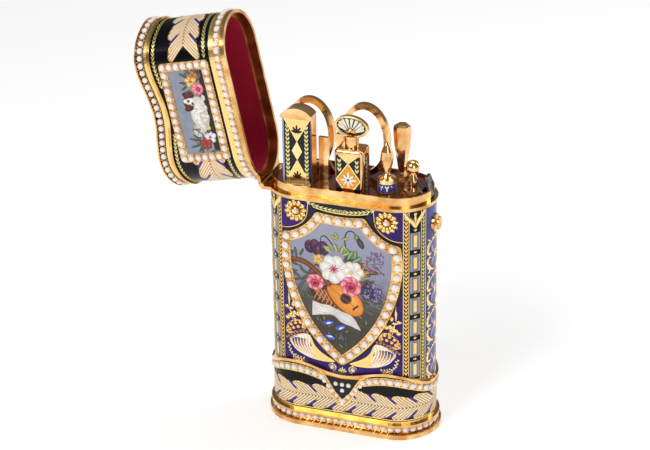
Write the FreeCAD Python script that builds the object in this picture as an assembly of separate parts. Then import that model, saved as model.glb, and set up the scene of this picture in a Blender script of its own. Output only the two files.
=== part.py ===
"""Gold and enamel etui with a hinged lid and a set of toilet and sewing implements.

Millimetres, +Z up. The origin is the centre of the underside of the foot. +X runs along
the width towards the push button, the lid hinge is at the -X end, and the front faces -Y.
The lid is drawn closed and then turned open about its hinge, because open is its rest.
"""
import FreeCAD
import Part
import math
import os

V = FreeCAD.Vector
os.makedirs("parts", exist_ok=True)

# ---- case: overall sizes -------------------------------------------------------------
case_width = 52.0          # outside of the enamel, along X
case_depth = 23.0          # outside of the enamel, along Y
case_height = 77.1         # foot to the top of the enamelled wall
enamel_thickness = 0.35
wall_thickness = 0.9
foot_flare = 1.9           # how far the foot stands out from the wall
foot_flange_height = 1.6
foot_channel_height = 2.4
foot_ledge_height = 0.7
foot_ledge_flare = 1.4
foot_channel_flare = 0.3
floor_thickness = 1.4

# ---- case: wavy plinth ---------------------------------------------------------------
plinth_flare = 0.4
plinth_mid_height = 18.8
plinth_crest_height = 21.6
plinth_end_height = 17.2
plinth_moulding_height = 0.9
plinth_moulding_flare = 1.0
crest_distance = 15.5      # from the middle of the front, along the wall

# ---- case: mouth ---------------------------------------------------------------------
flange_thickness = 1.0
flange_flare = 0.5
collar_height = 3.0        # above the flange
collar_inset = 0.7         # from the outside of the enamel
collar_thickness = 0.5
deck_drop = 0.7            # below the top of the collar
deck_thickness = 1.6

# ---- lid -----------------------------------------------------------------------------
lid_gap = 0.3              # between the flange and the closed lid
lid_open_angle = 102.0
lid_shell_thickness = 0.65
lid_lip_height = 1.3
lid_lip_flare = 0.5
lid_pearl_height = 2.65    # first row of pearls, above the mouth
lid_mid_height = 26.4      # top row of pearls, above the mouth
lid_crest_height = 28.4
lid_end_height = 27.0
lid_top_above_pearls = 1.2
lid_top_panel_thickness = 0.3
lid_lining_thickness = 0.5
lid_cavity_height = 26.35
lid_moulding_drop = 3.0    # from the top pearls down to the moulding
lid_moulding_height = 0.9
lid_moulding_flare = 0.7

# ---- pearls --------------------------------------------------------------------------
row_pearl_radius = 1.02
row_pearl_count = 58
shield_pearl_radius = 1.25
shield_pearl_count = 40
plaque_pearl_radius = 1.05
pendant_pearl_radius = 0.8

# ---- corner pilasters, in degrees round each end from the front ----------------------
border_inner_angle = (25.0, 35.0)
pilaster_angle = (35.0, 53.5)
border_outer_angle = (53.5, 63.0)

# ---- shield on the front and the back, downwards from the top of the enamel ----------
shield_top_half = 7.0
shield_top_height = case_height - 4.8
shield_top_sag = 0.5
shield_ear_x = 17.4
shield_ear_height = case_height - 12.5
shield_scoop = (10.9, case_height - 9.4)
shield_side = (17.7, case_height - 19.5)
shield_waist = (16.2, case_height - 28.5)
shield_lower = (10.6, case_height - 41.2)
shield_tip_height = case_height - 52.5
shield_frame_half = 1.55
shield_frame_thickness = 0.45
plaque_thickness = 0.25
rosette_x = 14.4
rosette_height = case_height - 3.8
rosette_radius = 3.7
rosette_thickness = 0.5
rosette_pearl_radius = 0.85

# ---- plaque on the front and the back of the lid --------------------------------------
lid_plaque_half = 14.6     # centre lines of the pearls round the plaque
lid_plaque_low = 7.2
lid_plaque_high = 21.2
lid_frame_half = 1.3

# ---- hinge ---------------------------------------------------------------------------
hinge_offset = 0.55        # axis outside the end of the wall
hinge_length = 15.6
knuckle_radius = 0.8
knuckle_gap = 0.06
knuckle_relief = 0.12      # round the knuckles, in whatever turns past them
shell_relief = 0.09        # the same in the lid's shell, which a larger knuckle would reach
hinge_pin_radius = 0.4
hinge_pin_clearance = 0.04
hinge_leaf_thickness = 1.0
leaf_overhang = 0.35       # of each leaf beyond the hinge axis

# ---- button and catch ----------------------------------------------------------------
button_height = case_height - 6.9
button_travel = 0.6
button_shaft_radius = 1.0
button_shaft_clearance = 0.05
button_gap = 0.06          # between the shaft and the catch at rest
button_head_radius = 2.1
button_head_thickness = 0.9
bush_radius = 2.9
bush_thickness = 0.5
catch_pivot_height = case_height - 21.1
catch_width = 3.0
catch_thickness = 0.8
catch_rise = 6.8           # above the mouth
catch_lean = 1.2
catch_gap = 0.08
catch_pin_radius = 0.5
catch_pin_clearance = 0.04

# ---- pockets for the implements ------------------------------------------------------
pocket_clearance = 0.12
block_clearance = 0.1
block_back = 2.0           # back face of the block, in Y
block_right_inset = 3.6    # right face of the block, in from the end of the case

# ---- derived levels ------------------------------------------------------------------
end_radius = case_depth / 2
end_centre = case_width / 2 - end_radius
quarter_run = end_centre + end_radius * math.pi / 2
foot_height = foot_flange_height + foot_channel_height + foot_ledge_height
flange_top = case_height + flange_thickness
collar_top = flange_top + collar_height
deck_top = collar_top - deck_drop
deck_bottom = deck_top - deck_thickness
mouth_z = flange_top + lid_gap
hinge_x = -case_width / 2 - hinge_offset
hinge_z = mouth_z
core_inset = -enamel_thickness
inner_inset = -enamel_thickness - wall_thickness
collar_inner_inset = -collar_inset - collar_thickness
block_right = case_width / 2 - block_right_inset
catch_top_height = mouth_z + catch_rise


# ---- helpers -------------------------------------------------------------------------
def save(name, shape):
    shape.exportStep("parts/" + name + ".step")


def group(shapes):
    return Part.makeCompound(shapes)


def stadium(offset, z0, z1):
    """Solid with the outline of the case, grown by offset, between two heights."""
    r = end_radius + offset
    c = end_centre
    edges = [Part.LineSegment(V(-c, -r, z0), V(c, -r, z0)).toShape(),
             Part.Arc(V(c, -r, z0), V(c + r, 0, z0), V(c, r, z0)).toShape(),
             Part.LineSegment(V(c, r, z0), V(-c, r, z0)).toShape(),
             Part.Arc(V(-c, r, z0), V(-c - r, 0, z0), V(-c, -r, z0)).toShape()]
    return Part.Face(Part.Wire(edges)).extrude(V(0, 0, z1 - z0))


def ring(outer, inner, z0, z1):
    return stadium(outer, z0, z1).cut(stadium(inner, z0 - 1, z1 + 1))


def prism_xz(points, y0, y1):
    """Extrude a closed outline in the XZ plane from y0 to y1."""
    wire = Part.makePolygon([V(x, y0, z) for x, z in points + points[:1]])
    return Part.Face(wire).extrude(V(0, y1 - y0, 0))


def box(x0, x1, y0, y1, z0, z1):
    return Part.makeBox(x1 - x0, y1 - y0, z1 - z0, V(x0, y0, z0))


def cyl_z(x, y, r, z0, z1):
    return Part.makeCylinder(r, z1 - z0, V(x, y, z0))


def turned(x, y, outline):
    """Solid of revolution about a vertical axis from (radius, height) points."""
    points = [V(r, 0, z) for r, z in outline]
    wire = Part.makePolygon([V(0, 0, outline[0][1])] + points +
                            [V(0, 0, outline[-1][1]), V(0, 0, outline[0][1])])
    solid = Part.Face(wire).revolve(V(0, 0, 0), V(0, 0, 1), 360)
    solid.translate(V(x, y, 0))
    return solid


def run_at(x):
    """Distance along the wall from the middle of the front to the point at x."""
    x = abs(x)
    if x <= end_centre:
        return x
    return end_centre + end_radius * math.asin(min(1.0, (x - end_centre) / end_radius))


def wave(s, mid, crest, end):
    """Height of a wavy edge: low in the middle, high at the crest, low at the end."""
    if s < crest_distance:
        return crest - (crest - mid) * math.cos(math.pi * s / (2 * crest_distance)) ** 2
    t = (s - crest_distance) / (quarter_run - crest_distance)
    return crest - (crest - end) * math.sin(math.pi * min(t, 1.0) / 2) ** 2


def below_wave(mid, crest, end, shift, bottom):
    """Solid of everything under a wavy surface that is ruled along Y."""
    steps = 18
    half = []
    for i in range(1, steps + 1):
        s = quarter_run * i / steps
        x = s
        if s > end_centre:
            x = end_centre + end_radius * math.sin((s - end_centre) / end_radius)
        half.append(V(x, -40, wave(s, mid, crest, end) + shift))
    reach = case_width / 2 + 6
    tail = V(reach, -40, end + shift)
    left = [V(-p.x, -40, p.z) for p in reversed(half)]
    points = left + [V(0, -40, mid + shift)] + half
    curve = Part.BSplineCurve()
    curve.interpolate(points)
    low_left = V(-reach, -40, bottom)
    low_right = V(reach, -40, bottom)
    tail_left = V(-reach, -40, end + shift)
    edges = [curve.toShape(),
             Part.LineSegment(points[-1], tail).toShape(),
             Part.LineSegment(tail, low_right).toShape(),
             Part.LineSegment(low_right, low_left).toShape(),
             Part.LineSegment(low_left, tail_left).toShape(),
             Part.LineSegment(tail_left, points[0]).toShape()]
    return Part.Face(Part.Wire(edges)).extrude(V(0, 80, 0))


def plinth_wave(shift):
    return below_wave(plinth_mid_height, plinth_crest_height, plinth_end_height, shift, -5)


def lid_wave(shift):
    return below_wave(mouth_z + lid_mid_height, mouth_z + lid_crest_height,
                      mouth_z + lid_end_height, shift, mouth_z - 5)


def wall_point(s, offset, side=-1):
    """Point and outward direction on the wall, s from the middle of the front or back."""
    sign = 1 if s >= 0 else -1
    s = abs(s)
    if s <= end_centre:
        return sign * s, side * (end_radius + offset), V(0, side, 0)
    a = (s - end_centre) / end_radius
    out = V(sign * math.sin(a), side * math.cos(a), 0)
    x = sign * end_centre + out.x * (end_radius + offset)
    return x, out.y * (end_radius + offset), out


def half_pearl(x, y, z, out, radius):
    """Half pearl with its flat against the wall."""
    return Part.makeSphere(radius, V(x, y, z), out, 0, 90, 360)


def pearl_row(height_at, offset, radius, count, skip=0.0):
    """Row of half pearls round the whole wall. height_at gives z from the run s."""
    pearls = []
    full = 4 * quarter_run
    for i in range(count):
        run = full * i / count
        side = -1
        if run > full / 4 and run <= 3 * full / 4:
            side = 1
            s = full / 2 - run
        else:
            s = run if run <= full / 4 else run - full
        if abs(s) < skip:
            continue
        x, y, out = wall_point(s, offset, side)
        pearls.append(half_pearl(x, y, height_at(abs(s)), out, radius))
    return pearls


def sector(angle0, angle1, z0, z1, corner):
    """Wedge round one end. corner is (sign of X, sign of Y)."""
    sx, sy = corner
    reach = 40.0
    a0 = math.radians(angle0)
    a1 = math.radians(angle1)
    points = [V(sx * end_centre, 0, z0)]
    for a in (a0, a1):
        points.append(V(sx * (end_centre + reach * math.sin(a)), sy * reach * math.cos(a), z0))
    return Part.Face(Part.makePolygon(points + points[:1])).extrude(V(0, 0, z1 - z0))


def front_wedge(angle, z0, z1, side):
    """Wedge over the front or the back, reaching round both ends by an angle."""
    reach = 40.0
    a = math.radians(angle)
    dx = reach * math.sin(a)
    dy = side * reach * math.cos(a)
    points = [V(-end_centre, 0, z0), V(-end_centre - dx, dy, z0),
              V(end_centre + dx, dy, z0), V(end_centre, 0, z0)]
    return Part.Face(Part.makePolygon(points + points[:1])).extrude(V(0, 0, z1 - z0))


def end_wedge(angle, z0, z1, sx):
    """Wedge over one end, from an angle at the front to the same angle at the back."""
    reach = 40.0
    a = math.radians(angle)
    far = sx * (end_centre + reach * math.sin(a))
    points = [V(sx * end_centre, 0, z0), V(far, -reach * math.cos(a), z0),
              V(sx * (end_centre + reach * 2), 0, z0), V(far, reach * math.cos(a), z0)]
    return Part.Face(Part.makePolygon(points + points[:1])).extrude(V(0, 0, z1 - z0))


def mirror_y(shape):
    return shape.mirror(V(0, 0, 0), V(0, 1, 0))


corners = [(1, -1), (-1, -1), (1, 1), (-1, 1)]

# ---- foot and floor ------------------------------------------------------------------
channel_top = foot_flange_height + foot_channel_height
foot_rim = stadium(foot_flare, 0, foot_flange_height)
foot_rim = foot_rim.fuse(stadium(foot_channel_flare, foot_flange_height, channel_top))
foot_rim = foot_rim.fuse(stadium(foot_ledge_flare, channel_top, foot_height))
foot_rim = foot_rim.cut(stadium(inner_inset, -1, foot_height + 1)).removeSplitter()
save("foot_rim", foot_rim)
save("base_plate", stadium(inner_inset, 0, floor_thickness))
foot_pearl_z = foot_flange_height + foot_channel_height / 2
save("foot_pearls", group(pearl_row(lambda s: foot_pearl_z, foot_channel_flare + 0.01,
                                    row_pearl_radius, row_pearl_count)))

# ---- case wall and its slots for the catch and the button ----------------------------
catch_slot_half = catch_width / 2 + 0.25
shell_inner_x = case_width / 2 + inner_inset
catch_slot_x = shell_inner_x + 0.55
body_shell = ring(core_inset, inner_inset, foot_height, case_height)
body_shell = body_shell.cut(box(shell_inner_x - 1, catch_slot_x, -catch_slot_half,
                                catch_slot_half, case_height - 1.4, case_height + 1))
shaft_bore = Part.makeCylinder(button_shaft_radius + button_shaft_clearance, 12,
                               V(case_width / 2 - 6, 0, button_height), V(1, 0, 0))
body_shell = body_shell.cut(shaft_bore)
save("body_shell", body_shell)

# ---- plinth --------------------------------------------------------------------------
skin = ring(0, core_inset, foot_height, case_height)
plinth_ring = ring(plinth_flare, core_inset, foot_height, case_height)
save("plinth_band", plinth_ring.common(plinth_wave(0)))
moulding_ring = ring(plinth_moulding_flare, core_inset, foot_height, case_height)
save("plinth_moulding",
     moulding_ring.common(plinth_wave(plinth_moulding_height)).cut(plinth_wave(0)))
plinth_pearl_drop = 2.0
pendant_start = 7.2        # where the pearls leave the wave for the pendant, along the wall
pendant_tip_z = foot_height + 5.2


def plinth_pearl_z(s):
    return wave(s, plinth_mid_height, plinth_crest_height, plinth_end_height) - plinth_pearl_drop


def pendant(side):
    """Small pearls from the wave down to the tip of the pendant, and the three inside it."""
    pearls = []
    offset = plinth_flare + 0.01
    out = V(0, side, 0)
    y = side * (end_radius + offset)
    top_z = plinth_pearl_z(pendant_start)
    steps = 5
    for i in range(1, steps + 1):
        t = i / (steps + 0.4)
        for sx in (-1, 1):
            x = sx * pendant_start * (1 - t)
            z = top_z + (pendant_tip_z - top_z) * t
            pearls.append(half_pearl(x, y, z, out, pendant_pearl_radius))
    pearls.append(half_pearl(0, y, pendant_tip_z - 0.6, out, pendant_pearl_radius))
    inner_z = top_z - 1.9
    drop = pendant_pearl_radius * 2 + 0.5
    for x, z in ((-drop, inner_z), (0, inner_z), (drop, inner_z), (0, inner_z - drop)):
        pearls.append(half_pearl(x, y, z, out, pendant_pearl_radius))
    return pearls


plinth_pearls = pearl_row(plinth_pearl_z, plinth_flare + 0.01, row_pearl_radius,
                          row_pearl_count, pendant_start - 0.6)
plinth_pearls += pendant(-1) + pendant(1)
save("plinth_pearls", group(plinth_pearls))

# ---- enamel panels -------------------------------------------------------------------
panel_skin = skin.cut(plinth_wave(plinth_moulding_height))
bush_hole = Part.makeCylinder(bush_radius, 12, V(case_width / 2 - 6, 0, button_height),
                              V(1, 0, 0))
save("front_panel", panel_skin.common(front_wedge(border_inner_angle[0], 0, case_height + 13, -1)))
save("back_panel", panel_skin.common(front_wedge(border_inner_angle[0], 0, case_height + 13, 1)))
end_panels = [panel_skin.common(end_wedge(border_outer_angle[1], 0, case_height + 13, sx)).cut(bush_hole)
              for sx in (1, -1)]
save("end_panels", group(end_panels))
save("corner_pilasters", group([panel_skin.common(sector(*pilaster_angle, 0, case_height + 13, c))
                                for c in corners]))
borders = []
for corner in corners:
    for angles in (border_inner_angle, border_outer_angle):
        borders.append(panel_skin.common(sector(*angles, 0, case_height + 13, corner)))
save("leaf_borders", group(borders))


# ---- shields -------------------------------------------------------------------------
def shield_wire():
    """Centre line of the shield's pearls, flat in the XZ plane."""
    th = shield_top_half
    tz = shield_top_height
    left_top = V(-th, 0, tz)
    right_top = V(th, 0, tz)
    ear = V(shield_ear_x, 0, shield_ear_height)
    waist = V(shield_waist[0], 0, shield_waist[1])
    tip = V(0, 0, shield_tip_height)

    def arc(a, b, c):
        return Part.Arc(a, b, c).toShape()

    def flip(p):
        return V(-p.x, 0, p.z)

    scoop = V(shield_scoop[0], 0, shield_scoop[1])
    side = V(shield_side[0], 0, shield_side[1])
    lower = V(shield_lower[0], 0, shield_lower[1])
    edges = [arc(left_top, V(0, 0, tz - shield_top_sag), right_top),
             arc(right_top, scoop, ear),
             arc(ear, side, waist),
             arc(waist, lower, tip),
             arc(tip, flip(lower), flip(waist)),
             arc(flip(waist), flip(side), flip(ear)),
             arc(flip(ear), flip(scoop), left_top)]
    return Part.Wire(edges)


def grown_prism(wire, grow):
    """Prism along Y of a flat outline grown or shrunk all round."""
    outline = wire.makeOffset2D(grow, 0, False, False)
    face = Part.Face(outline)
    face.translate(V(0, -40, 0))
    return face.extrude(V(0, 40, 0))


def framed_plaque(wire, half, band, plate):
    """Raised frame on the outline and the thin plaque inside it, for the front."""
    outer = grown_prism(wire, half)
    inner = grown_prism(wire, -half)
    return band.common(outer).cut(inner), plate.common(inner)


def pearls_on(wire, count, offset, radius):
    """Half pearls evenly spaced along an outline on the front wall."""
    pearls = []
    points = wire.discretize(Number=count + 1)[:-1]
    for p in points:
        s = math.copysign(run_at(p.x), p.x)
        x, y, out = wall_point(s, offset)
        pearls.append(half_pearl(x, y, p.z, out, radius))
    return pearls


shield = shield_wire()
frame_ring = ring(shield_frame_thickness, 0, foot_height, case_height)
plate_ring = ring(plaque_thickness, 0, foot_height, case_height)
front_frame, front_plaque = framed_plaque(shield, shield_frame_half, frame_ring, plate_ring)
front_shield_pearls = pearls_on(shield, shield_pearl_count, shield_frame_thickness + 0.01,
                                shield_pearl_radius)
save("shield_frames", group([front_frame, mirror_y(front_frame)]))
save("front_plaque", front_plaque)
save("back_plaque", mirror_y(front_plaque))

# ---- rosettes ------------------------------------------------------------------------
rosettes = []
rosette_pearls = []
flat_y = end_radius + rosette_thickness
for side in (-1, 1):
    for sx in (-1, 1):
        disc = Part.makeCylinder(rosette_radius, flat_y, V(sx * rosette_x, 0, rosette_height),
                                 V(0, side, 0))
        disc = disc.cut(stadium(0.01, rosette_height - 10, rosette_height + 10))
        disc = disc.cut(frame_ring.common(grown_prism(shield, shield_frame_half + 0.05)
                                          if side < 0 else
                                          mirror_y(grown_prism(shield, shield_frame_half + 0.05))))
        rosettes.append(disc)
        rosette_pearls.append(half_pearl(sx * rosette_x, side * flat_y, rosette_height,
                                         V(0, side, 0), rosette_pearl_radius))
save("rosettes", group(rosettes))
shield_pearls = front_shield_pearls + [mirror_y(p) for p in front_shield_pearls]
save("shield_pearls", group(shield_pearls + rosette_pearls))

# ---- mouth collar --------------------------------------------------------------------
collar = ring(flange_flare, collar_inner_inset, case_height, flange_top)
collar = collar.fuse(ring(-collar_inset, collar_inner_inset, flange_top, collar_top))
collar_notch = box(shell_inner_x - 2, catch_slot_x + 0.05, -catch_slot_half, catch_slot_half,
                   case_height - 1, collar_top + 1)
collar = collar.removeSplitter().cut(collar_notch)
collar = collar.cut(Part.makeCylinder(knuckle_radius + knuckle_relief, case_depth,
                                      V(hinge_x, -case_depth / 2, hinge_z), V(0, 1, 0)))
save("mouth_collar", collar)

# ---- implements: places and sizes, with heights from the top of the deck -------------
needle_case_x = (-19.9, -10.5)
needle_case_y = (-7.2, -2.4)
needle_case_bottom = deck_top - 36.4
needle_case_cap_z = deck_top + 20.9
needle_case_top = deck_top + 24.0
needle_case_wall = 0.6
file_x = (-10.2, -7.2)
file_y = (-1.9, -0.7)
file_top = deck_top + 13.6
file_bottom = deck_top - 34.4
tweezers_x = (-5.0, -3.2)
tweezers_y = (-0.9, 0.9)
tweezers_top = deck_top + 14.8
tweezers_bottom = deck_top - 30.4
bottle_x = (-2.8, 6.2)
bottle_y = (-9.1, -1.7)
bottle_bottom = deck_top - 25.4
bottle_shoulder = deck_top + 13.5
bottle_wall = 0.7
neck_height = 2.7
neck_radius = 2.1
bodkin_x = 12.8
bodkin_y = -5.9
stiletto_x = 14.2
stiletto_y = 4.5
hook_x = 19.9
hook_y = -3.0
bodkin_end = deck_top - 44.4
spike_end = deck_top - 42.4
hook_end = deck_top - 32.4
scissor_axis_x = -6.1
scissor_y = 3.9
scissor_pivot_z = deck_top - 5.9

# ---- block and deck ------------------------------------------------------------------
high = deck_top + 20.0      # above every pocket
block_zone = box(-case_width, block_right, -case_depth, block_back, 0, high)
block = stadium(inner_inset - block_clearance, floor_thickness, deck_bottom).common(block_zone)
deck = stadium(collar_inner_inset - 0.06, deck_bottom, deck_top)
pocket_floor = 0.3
g = pocket_clearance
needle_pocket = box(needle_case_x[0] - g, needle_case_x[1] + g, needle_case_y[0] - g,
                    needle_case_y[1] + g, needle_case_bottom - pocket_floor, high)
file_pocket = box(file_x[0] - g, file_x[1] + g, file_y[0] - g, file_y[1] + g,
                  file_bottom - pocket_floor, high)
tweezers_pocket = box(tweezers_x[0] - g, tweezers_x[1] + g, tweezers_y[0] - g,
                      tweezers_y[1] + g, tweezers_bottom - pocket_floor, high)
bottle_pocket = box(bottle_x[0] - g, bottle_x[1] + g, bottle_y[0] - g, bottle_y[1] + g,
                    bottle_bottom - pocket_floor, high)
bodkin_stem = 1.1
hook_stem = 1.3
stiletto_stem = 1.25
sheath_wall = 0.5
bodkin_pocket = cyl_z(bodkin_x, bodkin_y, bodkin_stem + g, bodkin_end - 2.0, high)
hook_pocket = cyl_z(hook_x, hook_y, hook_stem + g, hook_end - 2.0, high)
stiletto_pocket = cyl_z(stiletto_x, stiletto_y, stiletto_stem + g, spike_end - 18.0, high)
catch_room = box(catch_slot_x - 3.2, catch_slot_x + 0.02, -catch_slot_half, catch_slot_half,
                 deck_bottom - 60, deck_top + 1)
scissor_slot = box(scissor_axis_x - 16.2, scissor_axis_x + 8.6, block_back + 0.05,
                   scissor_y + 2.0, deck_bottom - 1, deck_top + 1)
for pocket in (needle_pocket, file_pocket, tweezers_pocket, bottle_pocket, bodkin_pocket,
               hook_pocket):
    block = block.cut(pocket)
    deck = deck.cut(pocket)
block = block.cut(catch_room)
deck = deck.cut(stiletto_pocket).cut(catch_room).cut(scissor_slot)
save("insert_block", block)
save("insert_deck", deck)
sheath = cyl_z(stiletto_x, stiletto_y, stiletto_stem + g + sheath_wall, spike_end - 2.0,
               deck_bottom)
save("stiletto_sheath", sheath.cut(stiletto_pocket))

# ---- small pins through the collar and the foot --------------------------------------
pin_radius = 0.4
pins = []
pin_head = 0.05
for side in (-1, 1):
    pins.append(Part.makeCylinder(pin_radius, pin_head,
                                  V(9, side * (end_radius - collar_inset), collar_top - 1.2),
                                  V(0, side, 0)))
    pins.append(Part.makeCylinder(pin_radius, pin_head,
                                  V(0, side * (end_radius + foot_flare),
                                    foot_flange_height / 2), V(0, side, 0)))
save("fixing_pins", group(pins))


# ---- hinge ---------------------------------------------------------------------------
def hinge_cylinder(radius, y0, y1):
    return Part.makeCylinder(radius, y1 - y0, V(hinge_x, y0, hinge_z), V(0, 1, 0))


knuckle_count = 5
knuckle_pitch = hinge_length / knuckle_count


def hinge_leaf(z0, z1, own):
    """Leaf between the round rim and the straight hinge, with its own knuckles."""
    half = hinge_length / 2
    leaf = box(hinge_x - leaf_overhang, -case_width / 2 + 7, -half, half, z0, z1)
    leaf = leaf.cut(stadium(flange_flare, z0 - 1, z1 + 1))
    knuckles = None
    for i in range(knuckle_count):
        y0 = -half + i * knuckle_pitch
        y1 = y0 + knuckle_pitch
        if i % 2 == own:
            tube = hinge_cylinder(knuckle_radius, y0 + knuckle_gap / 2, y1 - knuckle_gap / 2)
            knuckles = tube if knuckles is None else knuckles.fuse(tube)
        else:
            relief = hinge_cylinder(knuckle_radius + knuckle_relief, y0 - knuckle_gap / 2,
                                    y1 + knuckle_gap / 2)
            leaf = leaf.cut(relief)
    leaf = leaf.fuse(knuckles).removeSplitter()
    return leaf.cut(hinge_cylinder(hinge_pin_radius + hinge_pin_clearance, -20, 20))


body_leaf = hinge_leaf(case_height, flange_top, 0)
save("body_hinge_leaf", body_leaf)
hinge_pin = hinge_cylinder(hinge_pin_radius, -hinge_length / 2, hinge_length / 2)
pin_cap = 0.35
for y0 in (-hinge_length / 2 - pin_cap, hinge_length / 2):
    hinge_pin = hinge_pin.fuse(hinge_cylinder(knuckle_radius, y0, y0 + pin_cap))
save("hinge_pin", hinge_pin)


# ---- lid: drawn closed, saved open ---------------------------------------------------
def open_lid(shape):
    opened = shape.copy()
    opened.rotate(V(hinge_x, 0, hinge_z), V(0, -1, 0), lid_open_angle)
    return opened


def save_lid(name, shape):
    save(name, open_lid(shape))


lid_ceiling = mouth_z + lid_mid_height + 5
lip_top = mouth_z + lid_lip_height
lid_inner_inset = -enamel_thickness - lid_shell_thickness
lip_inner_inset = -collar_inset + 0.1
lid_shell = stadium(core_inset, mouth_z, lid_ceiling).common(lid_wave(lid_top_above_pearls))
cavity_top = mouth_z + lid_cavity_height
lining_top = cavity_top + lid_lining_thickness
lid_shell = lid_shell.cut(stadium(lid_inner_inset, mouth_z - 1, lining_top))
lid_shell = lid_shell.cut(stadium(lip_inner_inset, mouth_z - 1,
                                  mouth_z + collar_height))
lid_shell = lid_shell.cut(hinge_cylinder(knuckle_radius + shell_relief, -case_depth / 2,
                                         case_depth / 2))
save_lid("lid_shell", lid_shell)
lid_lip = ring(lid_lip_flare, core_inset, mouth_z, lip_top)
lid_lip = lid_lip.cut(hinge_cylinder(knuckle_radius + knuckle_relief, -case_depth / 2,
                                     case_depth / 2))
save_lid("lid_lip", lid_lip)
band = ring(0, core_inset, lip_top, lid_ceiling).common(lid_wave(lid_top_above_pearls))
save_lid("lid_enamel", band)
top_trim = lid_top_panel_thickness
save_lid("lid_top_panel",
         stadium(-0.6, mouth_z, lid_ceiling).common(lid_wave(lid_top_above_pearls + top_trim))
         .cut(lid_wave(lid_top_above_pearls)))
top_rim = ring(0.9, 0, lip_top, lid_ceiling).common(lid_wave(lid_top_above_pearls + top_trim))
top_rim = top_rim.cut(lid_wave(row_pearl_radius + 0.03))
top_edge = ring(0, -0.6, lip_top, lid_ceiling)
top_edge = top_edge.common(lid_wave(lid_top_above_pearls + top_trim))
top_edge = top_edge.cut(lid_wave(lid_top_above_pearls))
save_lid("lid_top_rim", top_rim.fuse(top_edge).removeSplitter())
moulding = ring(lid_moulding_flare, 0, lip_top, lid_ceiling)
moulding = moulding.common(lid_wave(-lid_moulding_drop + lid_moulding_height / 2))
moulding = moulding.cut(lid_wave(-lid_moulding_drop - lid_moulding_height / 2))
save_lid("lid_moulding", moulding)


def lid_pearl_z(s):
    return mouth_z + wave(s, lid_mid_height, lid_crest_height, lid_end_height)


top_row = pearl_row(lid_pearl_z, 0.01, row_pearl_radius, row_pearl_count)
mouth_row = pearl_row(lambda s: mouth_z + lid_pearl_height, 0.01, row_pearl_radius,
                      row_pearl_count)
save_lid("lid_row_pearls", group(top_row + mouth_row))


def plaque_wire():
    low = mouth_z + lid_plaque_low
    high = mouth_z + lid_plaque_high
    half = lid_plaque_half
    return Part.makePolygon([V(-half, 0, low), V(half, 0, low), V(half, 0, high),
                             V(-half, 0, high), V(-half, 0, low)])


def plaque_pearl_points():
    """Pearl centres on the plaque's frame, with one at each corner."""
    across = 12
    up = 6
    low = mouth_z + lid_plaque_low
    rise = (lid_plaque_high - lid_plaque_low) / up
    step = 2 * lid_plaque_half / across
    points = []
    for i in range(across + 1):
        points.append((-lid_plaque_half + i * step, low))
        points.append((-lid_plaque_half + i * step, low + up * rise))
    for i in range(1, up):
        points.append((-lid_plaque_half, low + i * rise))
        points.append((lid_plaque_half, low + i * rise))
    return points


lid_frame_ring = ring(shield_frame_thickness, 0, lip_top, lid_ceiling)
lid_plate_ring = ring(plaque_thickness, 0, lip_top, lid_ceiling)
lid_frame, lid_plaque = framed_plaque(plaque_wire(), lid_frame_half, lid_frame_ring,
                                      lid_plate_ring)
lid_frame_pearls = []
for x, z in plaque_pearl_points():
    px, py, out = wall_point(math.copysign(run_at(x), x), shield_frame_thickness + 0.01)
    lid_frame_pearls.append(half_pearl(px, py, z, out, plaque_pearl_radius))
save_lid("lid_plaque_frames", group([lid_frame, mirror_y(lid_frame)]))
save_lid("lid_plaques", group([lid_plaque, mirror_y(lid_plaque)]))
save_lid("lid_plaque_pearls",
         group(lid_frame_pearls + [mirror_y(p) for p in lid_frame_pearls]))

# ---- lid: lining, strike and hinge leaf ----------------------------------------------
nose_z0 = mouth_z + 4.9
strike_top = nose_z0 - catch_gap
strike_depth = 0.7
lid_inner_x = case_width / 2 + lid_inner_inset
strike_half = catch_width / 2
strike = box(lid_inner_x - strike_depth, lid_inner_x + 0.3, -strike_half, strike_half,
             strike_top - 1.1, strike_top).common(stadium(lid_inner_inset, mouth_z, lid_ceiling))
save_lid("lid_strike", strike)
lining = stadium(lid_inner_inset, mouth_z + collar_height + 0.1, lining_top)
lining = lining.cut(stadium(lid_inner_inset - lid_lining_thickness, mouth_z - 1, cavity_top))
catch_window = box(lid_inner_x - 4, lid_inner_x + 1, -strike_half - 0.5, strike_half + 0.5,
                   mouth_z - 1, nose_z0 + 3.4)
save_lid("lid_lining", lining.cut(catch_window))
save_lid("lid_hinge_leaf", hinge_leaf(mouth_z + 0.05, mouth_z + 0.05 + hinge_leaf_thickness, 1))

# ---- push button ---------------------------------------------------------------------
catch_x = shell_inner_x - 0.35 - catch_thickness / 2      # centre of the lever's flat part
catch_out = catch_x + catch_thickness / 2
head_x0 = case_width / 2 + bush_thickness + button_travel + 0.1
bush = Part.makeCylinder(bush_radius, bush_thickness + enamel_thickness,
                         V(case_width / 2 - enamel_thickness, 0, button_height), V(1, 0, 0))
bush = bush.cut(shaft_bore)
save("button_bush", bush)
shaft = Part.makeCylinder(button_shaft_radius, head_x0 - catch_out - button_gap,
                          V(catch_out + button_gap, 0, button_height), V(1, 0, 0))
head = Part.makeCylinder(button_head_radius, button_head_thickness * 0.4,
                         V(head_x0, 0, button_height), V(1, 0, 0))
dome_x = head_x0 + button_head_thickness * 0.4
dome_rise = button_head_thickness * 0.6
dome_radius = (button_head_radius ** 2 + dome_rise ** 2) / (2 * dome_rise)
dome = Part.makeSphere(dome_radius, V(dome_x + dome_rise - dome_radius, 0, button_height))
dome = dome.common(box(dome_x, dome_x + 5, -5, 5, button_height - 5, button_height + 5))
save("push_button", shaft.fuse(head).fuse(dome))

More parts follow.
